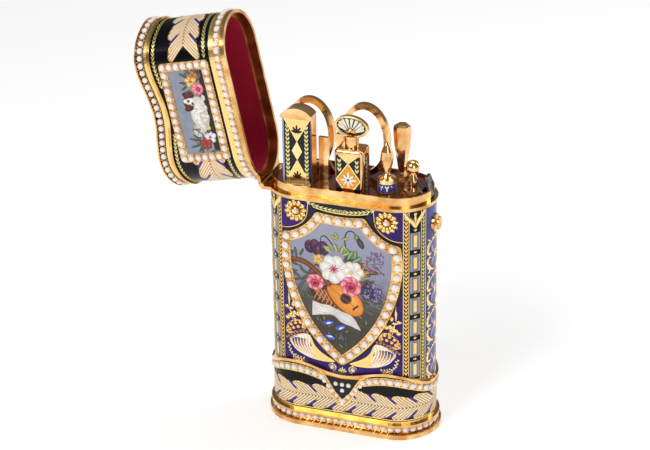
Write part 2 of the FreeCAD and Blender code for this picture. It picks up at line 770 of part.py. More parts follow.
# ---- steel catch ---------------------------------------------------------------------
half_t = catch_thickness / 2
bend_z = case_height - 0.9
top_x = catch_slot_x - 0.1 - half_t
lean_x = top_x - catch_lean
lever_points = [(catch_x - half_t, catch_pivot_height - 2.0),
                (catch_x + half_t, catch_pivot_height - 2.0),
                (catch_x + half_t, bend_z),
                (top_x + half_t, flange_top + 0.6),
                (lean_x + half_t, nose_z0),
                (lean_x + half_t + 0.75, nose_z0),
                (lean_x + half_t, catch_top_height),
                (lean_x - half_t, catch_top_height),
                (top_x - half_t, flange_top + 0.4),
                (catch_x - half_t, bend_z + 0.2)]
lever = prism_xz(lever_points, -catch_width / 2, catch_width / 2)
pivot_boss = Part.makeCylinder(0.95, catch_width, V(catch_x - half_t, -catch_width / 2,
                                                   catch_pivot_height), V(0, 1, 0))
lever = lever.fuse(pivot_boss).removeSplitter()
pivot_x = catch_x - half_t
pin_bore = Part.makeCylinder(catch_pin_radius + catch_pin_clearance, catch_width + 4,
                             V(pivot_x, -catch_width / 2 - 2, catch_pivot_height), V(0, 1, 0))
save("steel_catch", lever.cut(pin_bore))
catch_pin = Part.makeCylinder(catch_pin_radius, catch_width + 1.6,
                              V(pivot_x, -catch_width / 2 - 0.8, catch_pivot_height), V(0, 1, 0))
cheeks = []
for y0 in (-catch_width / 2 - 0.9, catch_width / 2 + 0.1):
    cheek = box(block_right, block_right + 2.2, y0, y0 + 0.8, catch_pivot_height - 3,
                catch_pivot_height + 3)
    cheeks.append(cheek.cut(catch_pin).common(stadium(inner_inset - 0.02, 0, case_height)))
save("catch_bracket", group(cheeks + [catch_pin]))

# ---- scissors ------------------------------------------------------------------------
plate = 1.15               # thickness of each half at the pivot
plate_gap = 0.04
bow_dx = 8.8               # centre of each bow from the pivot
bow_dz = 18.1
bow_half_width = 7.9
bow_half_height = 11.7
bow_bar = 1.8
bow_thickness = 2.0
hub_radius = 2.4
blade_length = 47.0
screw_radius = 0.7
screw_clearance = 0.04
screw_head_radius = 1.5
screw_head = 0.45


def ellipse_prism(cx, cz, half_width, half_height, y0, y1):
    ends = [V(cx, y0, cz + half_height), V(cx + half_width, y0, cz)]
    if half_width > half_height:
        ends.reverse()
    ellipse = Part.Ellipse(ends[0], ends[1], V(cx, y0, cz))
    face = Part.Face(Part.Wire([ellipse.toShape()]))
    return face.extrude(V(0, y1 - y0, 0))


def scissor_half(sx, y0, y1):
    """One half: bow on the sx side, blade on the other. The pivot is at (0, 0)."""
    bow_y0 = scissor_y - bow_thickness / 2
    bow_y1 = scissor_y + bow_thickness / 2
    cx = sx * bow_dx
    outer = ellipse_prism(cx, bow_dz, bow_half_width, bow_half_height, bow_y0, bow_y1)
    inner = ellipse_prism(cx, bow_dz, bow_half_width - bow_bar, bow_half_height - bow_bar,
                          bow_y0 - 5, bow_y1 + 5)
    bow = outer.cut(inner)
    shank = prism_xz([(sx * -1.4, 1.9), (sx * 3.0, 9.2), (sx * 7.4, 7.4), (sx * 2.0, -1.0)],
                     y0, y1).cut(inner)
    hub = Part.makeCylinder(hub_radius, y1 - y0, V(0, y0, 0), V(0, 1, 0))
    blade = prism_xz([(sx * 2.3, 0.5), (sx * 1.3, -3.0), (sx * 1.2, -30.0),
                      (sx * 0.1, -blade_length), (sx * -2.3, -4.0), (sx * -2.4, 0.0)], y0, y1)
    return bow.fuse([shank, hub, blade]).removeSplitter()


def place_scissors(shape):
    moved = shape.copy()
    moved.translate(V(scissor_axis_x, 0, scissor_pivot_z))
    return moved


screw_y0 = scissor_y - plate - plate_gap / 2
screw_y1 = scissor_y + plate + plate_gap / 2
screw_bore = Part.makeCylinder(screw_radius + screw_clearance, 10, V(0, scissor_y - 5, 0),
                               V(0, 1, 0))
half_a = scissor_half(1, screw_y0, scissor_y - plate_gap / 2)
half_b = scissor_half(-1, scissor_y + plate_gap / 2, screw_y1)
save("scissor_half_right", place_scissors(half_a.cut(screw_bore)))
save("scissor_half_left", place_scissors(half_b.cut(screw_bore)))
screw = Part.makeCylinder(screw_radius, screw_y1 - screw_y0, V(0, screw_y0, 0), V(0, 1, 0))
screw = screw.fuse(Part.makeCylinder(screw_head_radius, screw_head,
                                     V(0, screw_y0 - screw_head, 0), V(0, 1, 0)))
screw = screw.fuse(Part.makeCylinder(screw_head_radius * 0.8, screw_head,
                                     V(0, screw_y1 + 0.03, 0), V(0, 1, 0)))
screw = screw.fuse(Part.makeCylinder(screw_radius, 0.1, V(0, screw_y1, 0), V(0, 1, 0)))
save("scissor_screw", place_scissors(screw))

# ---- needle case ---------------------------------------------------------------------
cap_gap = 0.04
cap_barrel_radius = 0.45
cap_pin_radius = 0.2
cap_pin_clearance = 0.03
nx0, nx1 = needle_case_x
ny0, ny1 = needle_case_y
cap_axis_x = nx0 - cap_barrel_radius * 0.7
nw = needle_case_wall


def cap_barrel(radius, y0, y1):
    return Part.makeCylinder(radius, y1 - y0, V(cap_axis_x, y0, needle_case_cap_z),
                             V(0, 1, 0))


def arch_prism(x0, x1, y0, y1, z0, z_side, z_top):
    """Block with an arched top."""
    edges = [Part.LineSegment(V(x0, y0, z0), V(x1, y0, z0)).toShape(),
             Part.LineSegment(V(x1, y0, z0), V(x1, y0, z_side)).toShape(),
             Part.Arc(V(x1, y0, z_side), V((x0 + x1) / 2, y0, z_top),
                      V(x0, y0, z_side)).toShape(),
             Part.LineSegment(V(x0, y0, z_side), V(x0, y0, z0)).toShape()]
    return Part.Face(Part.Wire(edges)).extrude(V(0, y1 - y0, 0))


barrel_third = (ny1 - ny0) / 3
cap_y0 = ny0 + barrel_third
cap_y1 = ny1 - barrel_third
case = box(nx0, nx1, ny0, ny1, needle_case_bottom, needle_case_cap_z - cap_gap)
case = case.makeFillet(0.5, [e for e in case.Edges if e.Length > 20])
case = case.cut(box(nx0 + nw, nx1 - nw, ny0 + nw, ny1 - nw, needle_case_bottom + 3, needle_case_cap_z + 10))
for y0, y1 in ((ny0 + 0.3, cap_y0), (cap_y1, ny1 - 0.3)):
    case = case.fuse(cap_barrel(cap_barrel_radius, y0, y1))
case = case.cut(cap_barrel(cap_barrel_radius + 0.08, cap_y0, cap_y1))
cap_bore = cap_barrel(cap_pin_radius + cap_pin_clearance, ny0 - 1, ny1 + 1)
save("needle_case", case.cut(cap_bore))
cap_side = needle_case_cap_z + 0.9
cap = arch_prism(nx0, nx1, ny0, ny1, needle_case_cap_z, cap_side, needle_case_top)
cap = cap.cut(arch_prism(nx0 + nw, nx1 - nw, ny0 + nw, ny1 - nw, needle_case_cap_z - 1,
                         cap_side - 0.2, needle_case_top - nw))
cap = cap.fuse(cap_barrel(cap_barrel_radius, cap_y0 + 0.04, cap_y1 - 0.04))
for y0, y1 in ((ny0, cap_y0 + 0.04), (cap_y1 - 0.04, ny1)):
    cap = cap.cut(cap_barrel(cap_barrel_radius + 0.08, y0, y1))
save("needle_case_cap", cap.cut(cap_bore))
save("needle_case_hinge_pin", cap_barrel(cap_pin_radius, ny0 + 0.3, ny1 - 0.3))
needle_length = 40.0
needles = []
for i in range(5):
    needles.append(cyl_z(nx0 + 2.2 + i * 1.3, (ny0 + ny1) / 2, 0.3, needle_case_bottom + 3,
                         needle_case_bottom + 3 + needle_length - 2 * i))
save("needles", group(needles))

# ---- scent bottle --------------------------------------------------------------------
bx0, bx1 = bottle_x
by0, by1 = bottle_y
bottle_cx = (bx0 + bx1) / 2
bottle_cy = (by0 + by1) / 2
bw = bottle_wall
plug_radius = 1.15
plug_length = 5.0
glass_wall = 0.6
bottle = box(bx0, bx1, by0, by1, bottle_bottom, bottle_shoulder)
bottle = bottle.makeFillet(1.1, [e for e in bottle.Edges
                                 if e.Length > 20 or e.CenterOfMass.z > bottle_shoulder - 0.1])
neck_top = bottle_shoulder + neck_height
bottle = bottle.fuse(cyl_z(bottle_cx, bottle_cy, neck_radius, bottle_shoulder, neck_top))
liner_room = box(bx0 + bw, bx1 - bw, by0 + bw, by1 - bw, bottle_bottom + bw,
                 bottle_shoulder - 1.3)
throat_radius = plug_radius + 0.06
bottle = bottle.cut(liner_room)
bottle = bottle.cut(cyl_z(bottle_cx, bottle_cy, throat_radius, bottle_shoulder - 3,
                          neck_top + 10))
save("bottle_case", bottle)
glass_gap = 0.05
glass = box(bx0 + bw + glass_gap, bx1 - bw - glass_gap, by0 + bw + glass_gap,
            by1 - bw - glass_gap, bottle_bottom + bw, bottle_shoulder - 1.3 - glass_gap)
gw = glass_wall
glass = glass.cut(box(bx0 + bw + gw, bx1 - bw - gw, by0 + bw + gw, by1 - bw - gw,
                      bottle_bottom + bw + gw, bottle_shoulder - 1.3 - gw))
glass = glass.cut(cyl_z(bottle_cx, bottle_cy, throat_radius, bottle_shoulder - 4,
                        neck_top + 10))
save("bottle_glass", glass)
seat_gap = 0.03
fan_half_width = 5.3
fan_half_height = 3.45
fan_thickness = 1.3
fan_z = neck_top + 3.6
stopper = cyl_z(bottle_cx, bottle_cy, neck_radius, neck_top + seat_gap, neck_top + 0.9)
stopper = stopper.fuse(cyl_z(bottle_cx, bottle_cy, plug_radius, neck_top - plug_length,
                             neck_top + 0.5))
fan = ellipse_prism(bottle_cx, fan_z, fan_half_width, fan_half_height,
                    bottle_cy - fan_thickness / 2, bottle_cy + fan_thickness / 2)
fan_tilt = 6.0
fan.rotate(V(bottle_cx, bottle_cy, fan_z), V(0, 1, 0), fan_tilt)
save("stopper", stopper.fuse(fan).removeSplitter())

# ---- bodkin, stiletto and tambour hook -----------------------------------------------
bodkin_base = 2.8
save("bodkin_handle", turned(bodkin_x, bodkin_y, [
    (bodkin_base, deck_top), (bodkin_base, deck_top + 5.0), (1.5, deck_top + 5.7),
    (0.9, deck_top + 6.5), (1.5, deck_top + 8.6), (2.05, deck_top + 11.3),
    (1.7, deck_top + 13.6), (0.9, deck_top + 15.6), (0.35, deck_top + 16.3)]))
save("bodkin_blade", turned(bodkin_x, bodkin_y, [
    (0.3, bodkin_end), (0.8, bodkin_end + 6), (bodkin_stem, bodkin_end + 20),
    (bodkin_stem, deck_top)]))


def hex_stack(x, y, levels):
    """Faceted handle lofted through six-sided sections of (radius, height)."""
    wires = []
    for r, z in levels:
        points = [V(x + r * math.cos(math.radians(60 * i + 12)),
                    y + r * math.sin(math.radians(60 * i + 12)), z) for i in range(6)]
        wires.append(Part.makePolygon(points + points[:1]))
    return Part.makeLoft(wires, True, True)


save("stiletto_handle", hex_stack(stiletto_x, stiletto_y, [
    (1.9, deck_top), (1.5, deck_top + 1.6), (1.15, deck_top + 3.0), (2.35, deck_top + 11.0),
    (2.75, deck_top + 16.2), (2.6, deck_top + 17.8), (1.7, deck_top + 18.4)]))
save("stiletto_spike", turned(stiletto_x, stiletto_y, [
    (0.1, spike_end), (0.9, spike_end + 22), (stiletto_stem, spike_end + 36),
    (stiletto_stem, deck_top)]))
ball_z = deck_top + 8.3
ball_radius = 2.15
hook_handle = hex_stack(hook_x, hook_y, [(3.0, deck_top), (2.7, deck_top + 0.8)])
hook_handle = hook_handle.fuse(turned(hook_x, hook_y, [
    (1.6, deck_top + 0.7), (1.15, deck_top + 1.8), (1.5, deck_top + 4.2),
    (0.9, deck_top + 6.0), (0.9, ball_z)]))
hook_handle = hook_handle.fuse(Part.makeSphere(ball_radius, V(hook_x, hook_y, ball_z)))
save("hook_handle", hook_handle)
save("hook_needle", turned(hook_x, hook_y, [
    (0.2, hook_end), (0.55, hook_end + 2), (0.6, hook_end + 14), (hook_stem, hook_end + 18),
    (hook_stem, deck_top)]))

# ---- file and tweezers ---------------------------------------------------------------
file_joint_z = deck_top - 3.0
save("file_handle", box(*file_x, *file_y, file_joint_z, file_top))
file_inset = 0.25
file_blade = prism_xz([(file_x[0] + file_inset, file_joint_z),
                       (file_x[1] - file_inset, file_joint_z),
                       (file_x[1] - file_inset, file_bottom + 8),
                       ((file_x[0] + file_x[1]) / 2, file_bottom),
                       (file_x[0] + file_inset, file_bottom + 8)],
                      file_y[0] + file_inset, file_y[1] - file_inset)
save("file_blade", file_blade)
arm = 0.5
tx0, tx1 = tweezers_x
tweezers = box(tx0, tx1, *tweezers_y, tweezers_bottom, tweezers_top)
tweezers = tweezers.cut(box(tx0 - 1, tx1 + 1, tweezers_y[0] + arm, tweezers_y[1] - arm,
                            tweezers_bottom - 1, tweezers_top - 2.5))
save("tweezers", tweezers)
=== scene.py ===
import bpy
import bmesh
import math
import random
from mathutils import Matrix, Vector
from mathutils.geometry import tessellate_polygon


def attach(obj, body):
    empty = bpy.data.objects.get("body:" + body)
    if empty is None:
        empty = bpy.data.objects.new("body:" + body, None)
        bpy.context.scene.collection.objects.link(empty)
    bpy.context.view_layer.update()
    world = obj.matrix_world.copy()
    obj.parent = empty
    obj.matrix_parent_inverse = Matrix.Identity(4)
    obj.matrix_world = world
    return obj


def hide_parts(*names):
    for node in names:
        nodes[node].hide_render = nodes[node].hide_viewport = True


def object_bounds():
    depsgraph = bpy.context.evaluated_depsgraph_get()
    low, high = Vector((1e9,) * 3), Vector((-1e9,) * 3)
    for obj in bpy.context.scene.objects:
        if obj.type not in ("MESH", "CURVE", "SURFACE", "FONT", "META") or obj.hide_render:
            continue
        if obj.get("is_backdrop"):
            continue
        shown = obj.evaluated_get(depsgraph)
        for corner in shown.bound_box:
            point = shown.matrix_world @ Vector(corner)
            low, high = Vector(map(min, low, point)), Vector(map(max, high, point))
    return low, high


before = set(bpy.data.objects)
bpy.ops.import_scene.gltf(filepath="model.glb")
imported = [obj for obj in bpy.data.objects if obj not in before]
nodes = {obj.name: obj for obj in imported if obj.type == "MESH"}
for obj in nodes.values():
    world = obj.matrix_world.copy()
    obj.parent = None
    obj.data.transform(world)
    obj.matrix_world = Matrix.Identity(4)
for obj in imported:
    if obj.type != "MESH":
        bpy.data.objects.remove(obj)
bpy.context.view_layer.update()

# ---- studio --------------------------------------------------------------------------
# A pale floor that fades into a pale room, a large soft light over the front left with
# a weaker one on the right, a strip behind for bright edges, and one straight above.
MM = 0.001


def srgb(red, green, blue, alpha=1.0):
    """Colour from 0-255 screen values to the linear values that shaders use."""
    linear = [((c / 255 + 0.055) / 1.055) ** 2.4 if c > 10 else c / 255 / 12.92
              for c in (red, green, blue)]
    return (*linear, alpha)


def in_scene(name, data):
    """New object with this data, linked into the scene."""
    thing = bpy.data.objects.new(name, data)
    bpy.context.scene.collection.objects.link(thing)
    return thing


def add_light(name, size, energy, place, aim):
    data = bpy.data.lights.new(name, "AREA")
    data.shape = "RECTANGLE"
    data.size, data.size_y = size
    data.energy = energy
    light = in_scene(name, data)
    light.location = place
    light.rotation_euler = (Vector(aim) - Vector(place)).to_track_quat("-Z", "Y").to_euler()


world = bpy.data.worlds.new("pale_room")
bpy.context.scene.world = world
world.use_nodes = True
room_light = world.node_tree.nodes["Background"]
room_light.inputs["Color"].default_value = (1, 1, 1, 1)
ray = world.node_tree.nodes.new("ShaderNodeLightPath")
shown = world.node_tree.nodes.new("ShaderNodeMapRange")
shown.inputs["To Min"].default_value = 0.20      # light that reaches the object
shown.inputs["To Max"].default_value = 1.0       # what shows behind it
world.node_tree.links.new(ray.outputs["Is Camera Ray"], shown.inputs["Value"])
world.node_tree.links.new(shown.outputs["Result"], room_light.inputs["Strength"])
bpy.context.scene.view_settings.view_transform = "Standard"

middle = (-0.005, 0.0, 0.06)
add_light("key_softbox", (0.5, 0.5), 5.5, (-0.35, -0.75, 0.75), middle)
add_light("front_fill", (0.35, 0.6), 1.6, (0.55, -0.65, 0.35), middle)
add_light("back_strip", (0.15, 0.7), 2.0, (0.6, 0.5, 0.4), middle)
add_light("top_softbox", (0.6, 0.6), 2.2, (0.0, 0.2, 0.9), middle)

floor_mesh = bpy.data.meshes.new("floor")
floor_mesh.from_pydata([(-6, -6, 0), (6, -6, 0), (6, 6, 0), (-6, 6, 0)], [], [(0, 1, 2, 3)])
floor = in_scene("floor", floor_mesh)
paper = bpy.data.materials.new("floor_paper")
paper.use_nodes = True
paper_shader = paper.node_tree.nodes["Principled BSDF"]
paper_shader.inputs["Base Color"].default_value = (0.93, 0.93, 0.93, 1)
paper_shader.inputs["Emission Color"].default_value = (1, 1, 1, 1)
paper_shader.inputs["Emission Strength"].default_value = 0.35
paper_shader.inputs["Roughness"].default_value = 0.55
floor_mesh.materials.append(paper)
floor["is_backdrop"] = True

camera_azimuth = math.radians(19.55)
camera_elevation = math.radians(25.09)
camera_roll = math.radians(-0.59)
camera_place = Vector((0.19025, -0.53643, 0.33124))
look = Vector((-math.sin(camera_azimuth) * math.cos(camera_elevation),
               math.cos(camera_azimuth) * math.cos(camera_elevation), -math.sin(camera_elevation)))
right = Vector((math.cos(camera_azimuth), math.sin(camera_azimuth), 0))
up = right.cross(look)
roll_right = right * math.cos(camera_roll) + up * math.sin(camera_roll)
roll_up = up * math.cos(camera_roll) - right * math.sin(camera_roll)
camera_data = bpy.data.cameras.new("camera")
camera_data.sensor_width = 36.0
camera_data.lens = 114.04
camera_data.shift_x = -0.0427
camera_data.shift_y = 0.0032
camera_data.clip_start = 0.01
camera = in_scene("camera", camera_data)
turn = Matrix((roll_right, roll_up, -look)).transposed().to_4x4()
camera.matrix_world = Matrix.Translation(camera_place) @ turn
bpy.context.scene.camera = camera

# ---- foot and floor plate ------------------------------------------------------------
# A flared gold foot with a hollow channel for one row of half pearls. It is turned up
# from yellow gold sheet, soldered to the case, and polished bright.


def plug(tree, node, sockets):
    """Gives each input a value, or a link where an output is given."""
    for label, value in sockets.items():
        if isinstance(value, bpy.types.NodeSocket):
            tree.links.new(value, node.inputs[label])
        else:
            node.inputs[label].default_value = value
    return node


def node_in(tree, kind, sockets=None, **settings):
    node = tree.nodes.new(kind)
    for key, value in settings.items():
        setattr(node, key, value)
    return plug(tree, node, sockets or {})


def noise(tree, place, scale, detail=2.0):
    return node_in(tree, "ShaderNodeTexNoise", {
        "Vector": place, "Scale": scale, "Detail": detail}).outputs["Fac"]


def bump(tree, height, strength, distance):
    return node_in(tree, "ShaderNodeBump", {
        "Height": height, "Strength": strength, "Distance": distance}).outputs["Normal"]


def object_place(tree):
    return node_in(tree, "ShaderNodeTexCoord").outputs["Object"]


def group_tree(name, inputs, outputs):
    """Empty shader group with its sockets. Inputs and outputs are (name, kind, default)."""
    tree = bpy.data.node_groups.new(name, "ShaderNodeTree")
    for label, kind, value in inputs:
        socket = tree.interface.new_socket(label, in_out="INPUT", socket_type=kind)
        socket.default_value = value
    for label, kind in outputs:
        tree.interface.new_socket(label, in_out="OUTPUT", socket_type=kind)
    return tree, tree.nodes.new("NodeGroupInput"), tree.nodes.new("NodeGroupOutput")


def wear_group():
    """Polished metal: fine rub marks, soft dents and slow changes of tone."""
    tree, given, result = group_tree(
        "polish_wear",
        [("Colour", "NodeSocketColor", (1, 1, 1, 1)), ("Dark", "NodeSocketColor", (0, 0, 0, 1)),
         ("Roughness", "NodeSocketFloat", 0.2), ("Scratches", "NodeSocketFloat", 0.3),
         ("Dents", "NodeSocketFloat", 0.2)],
        [("Colour", "NodeSocketColor"), ("Roughness", "NodeSocketFloat"),
         ("Normal", "NodeSocketVector")])
    where = object_place(tree)
    spread = node_in(tree, "ShaderNodeMapRange", {
        "Value": noise(tree, where, 220, 4), "From Min": 0.35, "From Max": 0.72})
    mix = node_in(tree, "ShaderNodeMix", {
        "Factor": spread.outputs["Result"], "A": given.outputs["Dark"],
        "B": given.outputs["Colour"]}, data_type="RGBA")
    stretch = node_in(tree, "ShaderNodeMapping", {
        "Vector": where, "Scale": (1, 1, 7), "Rotation": (0.5, 0.9, 0.3)})
    rubbed = node_in(tree, "ShaderNodeMath", {
        0: noise(tree, stretch.outputs["Vector"], 2600, 3), 1: given.outputs["Scratches"],
        2: given.outputs["Roughness"]}, operation="MULTIPLY_ADD")
    plug(tree, result, {
        "Colour": mix.outputs["Result"], "Roughness": rubbed.outputs["Value"],
        "Normal": bump(tree, noise(tree, where, 420), given.outputs["Dents"], 0.0002)})
    return tree


polish_wear = wear_group()


def new_material(name, **settings):
    """Material whose shader sockets are set from the keyword values."""
    material = bpy.data.materials.new(name)
    material.use_nodes = True
    shader = material.node_tree.nodes["Principled BSDF"]
    for label, value in settings.items():
        shader.inputs[label.replace("_", " ")].default_value = value
    return material, material.node_tree, shader


def grouped(name, group, given, **settings):
    """Material whose shader is fed by all outputs of a shader group."""
    material, tree, shader = new_material(name, **settings)
    effect = node_in(tree, "ShaderNodeGroup", given, node_tree=group)
    plug(tree, shader,
         {"Base Color" if out.name == "Colour" else out.name: out for out in effect.outputs})
    return material


def metal(name, colour, dark, roughness):
    return grouped(name, polish_wear, {"Colour": colour, "Dark": dark, "Roughness": roughness,
                                       "Scratches": 0.12, "Dents": 0.25}, Metallic=1.0)


gold = metal("yellow_gold", srgb(250, 212, 144), srgb(204, 148, 84), 0.12)
inner_gold = metal("gilt_inside", srgb(222, 176, 108), srgb(160, 112, 60), 0.3)
rose_gold = metal("tool_gold", srgb(252, 216, 158), srgb(218, 162, 102), 0.08)
steel = metal("dark_steel", srgb(120, 116, 112), srgb(58, 56, 56), 0.2)


def finish(material, *names):
    for name in names:
        mesh = nodes[name].data
        mesh.materials.clear()
        mesh.materials.append(material)


finish(gold, "foot_rim", "base_plate", "plinth_moulding", "mouth_collar", "shield_frames",
       "rosettes", "fixing_pins", "body_hinge_leaf", "hinge_pin", "button_bush", "push_button",
       "lid_lip", "lid_top_rim", "lid_moulding", "lid_plaque_frames", "lid_hinge_leaf")
finish(inner_gold, "body_shell", "lid_shell", "insert_block", "catch_bracket", "lid_strike",
       "stiletto_sheath")
finish(rose_gold, "scissor_half_right", "scissor_half_left", "scissor_screw", "needle_case",
       "needle_case_cap", "needle_case_hinge_pin", "bottle_case", "stopper", "bodkin_handle",
       "stiletto_handle", "hook_handle", "file_handle", "tweezers")
finish(steel, "steel_catch", "needles", "bodkin_blade", "stiletto_spike", "hook_needle",
       "file_blade")


def glaze_group():
    """Fired enamel: cloudy depth in the colour and a barely uneven surface."""
    tree, given, result = group_tree(
        "fired_glaze",
        [("Light", "NodeSocketColor", (1, 1, 1, 1)), ("Deep", "NodeSocketColor", (0, 0, 0, 1)),
         ("Cloud Scale", "NodeSocketFloat", 300.0), ("Unevenness", "NodeSocketFloat", 0.1)],
        [("Colour", "NodeSocketColor"), ("Normal", "NodeSocketVector")])
    where = object_place(tree)
    mix = node_in(tree, "ShaderNodeMix", {
        "Factor": noise(tree, where, given.outputs["Cloud Scale"], 5),
        "A": given.outputs["Deep"], "B": given.outputs["Light"]}, data_type="RGBA")
    plug(tree, result, {
        "Colour": mix.outputs["Result"],
        "Normal": bump(tree, noise(tree, where, 160), given.outputs["Unevenness"], 0.0003)})
    return tree


fired_glaze = glaze_group()


def enamel(name, light, deep, cloud=300.0, roughness=0.16, coat=0.6, specular=0.4,
           coat_roughness=0.04):
    return grouped(name, fired_glaze, {"Light": light, "Deep": deep, "Cloud Scale": cloud},
                   Roughness=roughness, Coat_Weight=coat, Coat_Roughness=coat_roughness,
                   Specular_IOR_Level=specular)


purple = enamel("violet_enamel", srgb(58, 20, 122), srgb(24, 4, 66), coat=0.1, specular=0.2)
blue = enamel("blue_enamel", srgb(66, 70, 156), srgb(26, 26, 88), coat=0.2, specular=0.25)
black = enamel("black_enamel", srgb(14, 11, 17), srgb(4, 3, 6), coat=0.08, specular=0.15)
finish(purple, "front_panel", "back_panel")
finish(blue, "end_panels")
finish(black, "plinth_band", "corner_pilasters", "leaf_borders", "lid_enamel", "lid_top_panel")

deck_wood = enamel("tortoiseshell", srgb(120, 40, 18), srgb(46, 10, 8), 90, 0.1)
finish(deck_wood, "insert_deck")
velvet = enamel("velvet", srgb(196, 20, 66), srgb(140, 6, 38), 500, 0.8)
finish(velvet, "lid_lining")
glass = new_material("bottle_glass", Roughness=0.02, Transmission_Weight=1.0, IOR=1.5)[0]
finish(glass, "bottle_glass")


# ---- rows of half pearls -------------------------------------------------------------
# Half pearls cut to sit flat, each pressed into a drilled seat and held by gold grains
# raised from the metal between them. The row of the foot comes first.
CASE_RADIUS = 11.5         # of each round end, millimetres
END_CENTRE = 14.5          # middle of each round end, from the middle of the case
HALF_ROUND = 2 * END_CENTRE + math.pi * CASE_RADIUS      # from front middle to back middle
QUARTER = HALF_ROUND / 2
MOUTH_Z = 78.4
LID_HINGE = Vector((-26.55, 0, MOUTH_Z)) * MM
LID_OPEN_ANGLE = -102      # degrees the lid leans back at rest
FACES = (0.0, 2 * QUARTER)                               # middles of the front and the back
lid_open = (Matrix.Translation(LID_HINGE) @ Matrix.Rotation(math.radians(LID_OPEN_ANGLE), 4, "Y")
            @ Matrix.Translation(-LID_HINGE))


def round_case(s, height, lift):
    """Place on the wall, s millimetres round it from the middle of the front."""
    sign = 1 if s >= 0 else -1
    s = abs(s)
    radius = CASE_RADIUS + lift
    if s > 2 * QUARTER:
        s, sign = 4 * QUARTER - s, -sign
    if s <= END_CENTRE:
        place = (sign * s, -radius, height)
    elif s <= END_CENTRE + math.pi * CASE_RADIUS:
        angle = (s - END_CENTRE) / CASE_RADIUS
        place = (sign * (END_CENTRE + radius * math.sin(angle)), -radius * math.cos(angle), height)
    else:
        place = (sign * (HALF_ROUND - s), radius, height)
    return Vector(place) * MM


def round_lid(s, height, lift):
    return lid_open @ round_case(s, MOUTH_Z + height, lift)


def wave(s, middle, crest, end):
    """Height of a wavy edge: low at the middle of a face, high at its crest."""
    s = abs(s)
    if s > QUARTER:
        s = 2 * QUARTER - s
    if s < 15.5:
        return crest - (crest - middle) * math.cos(math.pi * s / 31) ** 2
    t = min(1.0, (s - 15.5) / (QUARTER - 15.5))
    return crest - (crest - end) * math.sin(math.pi * t / 2) ** 2


def plinth_edge(s):
    return wave(s, 18.8, 21.6, 17.2)


def lid_edge(s):
    return wave(s, 26.4, 28.4, 27.0)


def flat_sheet():
    """Empty mesh to draw on, flat: x round the wall, y up it and z out from it, all mm."""
    sheet = bmesh.new()
    sheet.verts.layers.float_color.new("paint")
    return sheet


def dome_unit(name, radius, rise, segments, rings, foot=(1, 1, 1, 1), top=(1, 1, 1, 1),
              skirt=0.15):
    """Half pearl or grain standing on the sheet, closed underneath."""
    bm = flat_sheet()
    paint = bm.verts.layers.float_color["paint"]
    rows = []
    for i in range(-1, rings):
        angle = math.pi / 2 * max(i, 0) / rings
        height = -skirt if i < 0 else rise * math.sin(angle)
        spread = radius * math.cos(angle)
        rows.append([bm.verts.new((spread * math.cos(2 * math.pi * k / segments),
                                   spread * math.sin(2 * math.pi * k / segments), height))
                     for k in range(segments)])
    crown = bm.verts.new((0, 0, rise))
    for low_row, high_row in zip(rows, rows[1:]):
        for k in range(segments):
            after = (k + 1) % segments
            bm.faces.new((low_row[k], low_row[after], high_row[after], high_row[k]))
    for k in range(segments):
        bm.faces.new((rows[-1][k], rows[-1][(k + 1) % segments], crown))
    bm.faces.new(list(reversed(rows[0])))
    for vert in bm.verts:
        vert[paint] = foot if vert.co.z < 0.2 * rise else top
    for face in bm.faces:
        face.smooth = True
    return sheet_to_object(bm, name)


def sheet_to_object(bm, name):
    mesh = bpy.data.meshes.new(name)
    bm.to_mesh(mesh)
    bm.free()
    return bpy.data.objects.new(name, mesh)


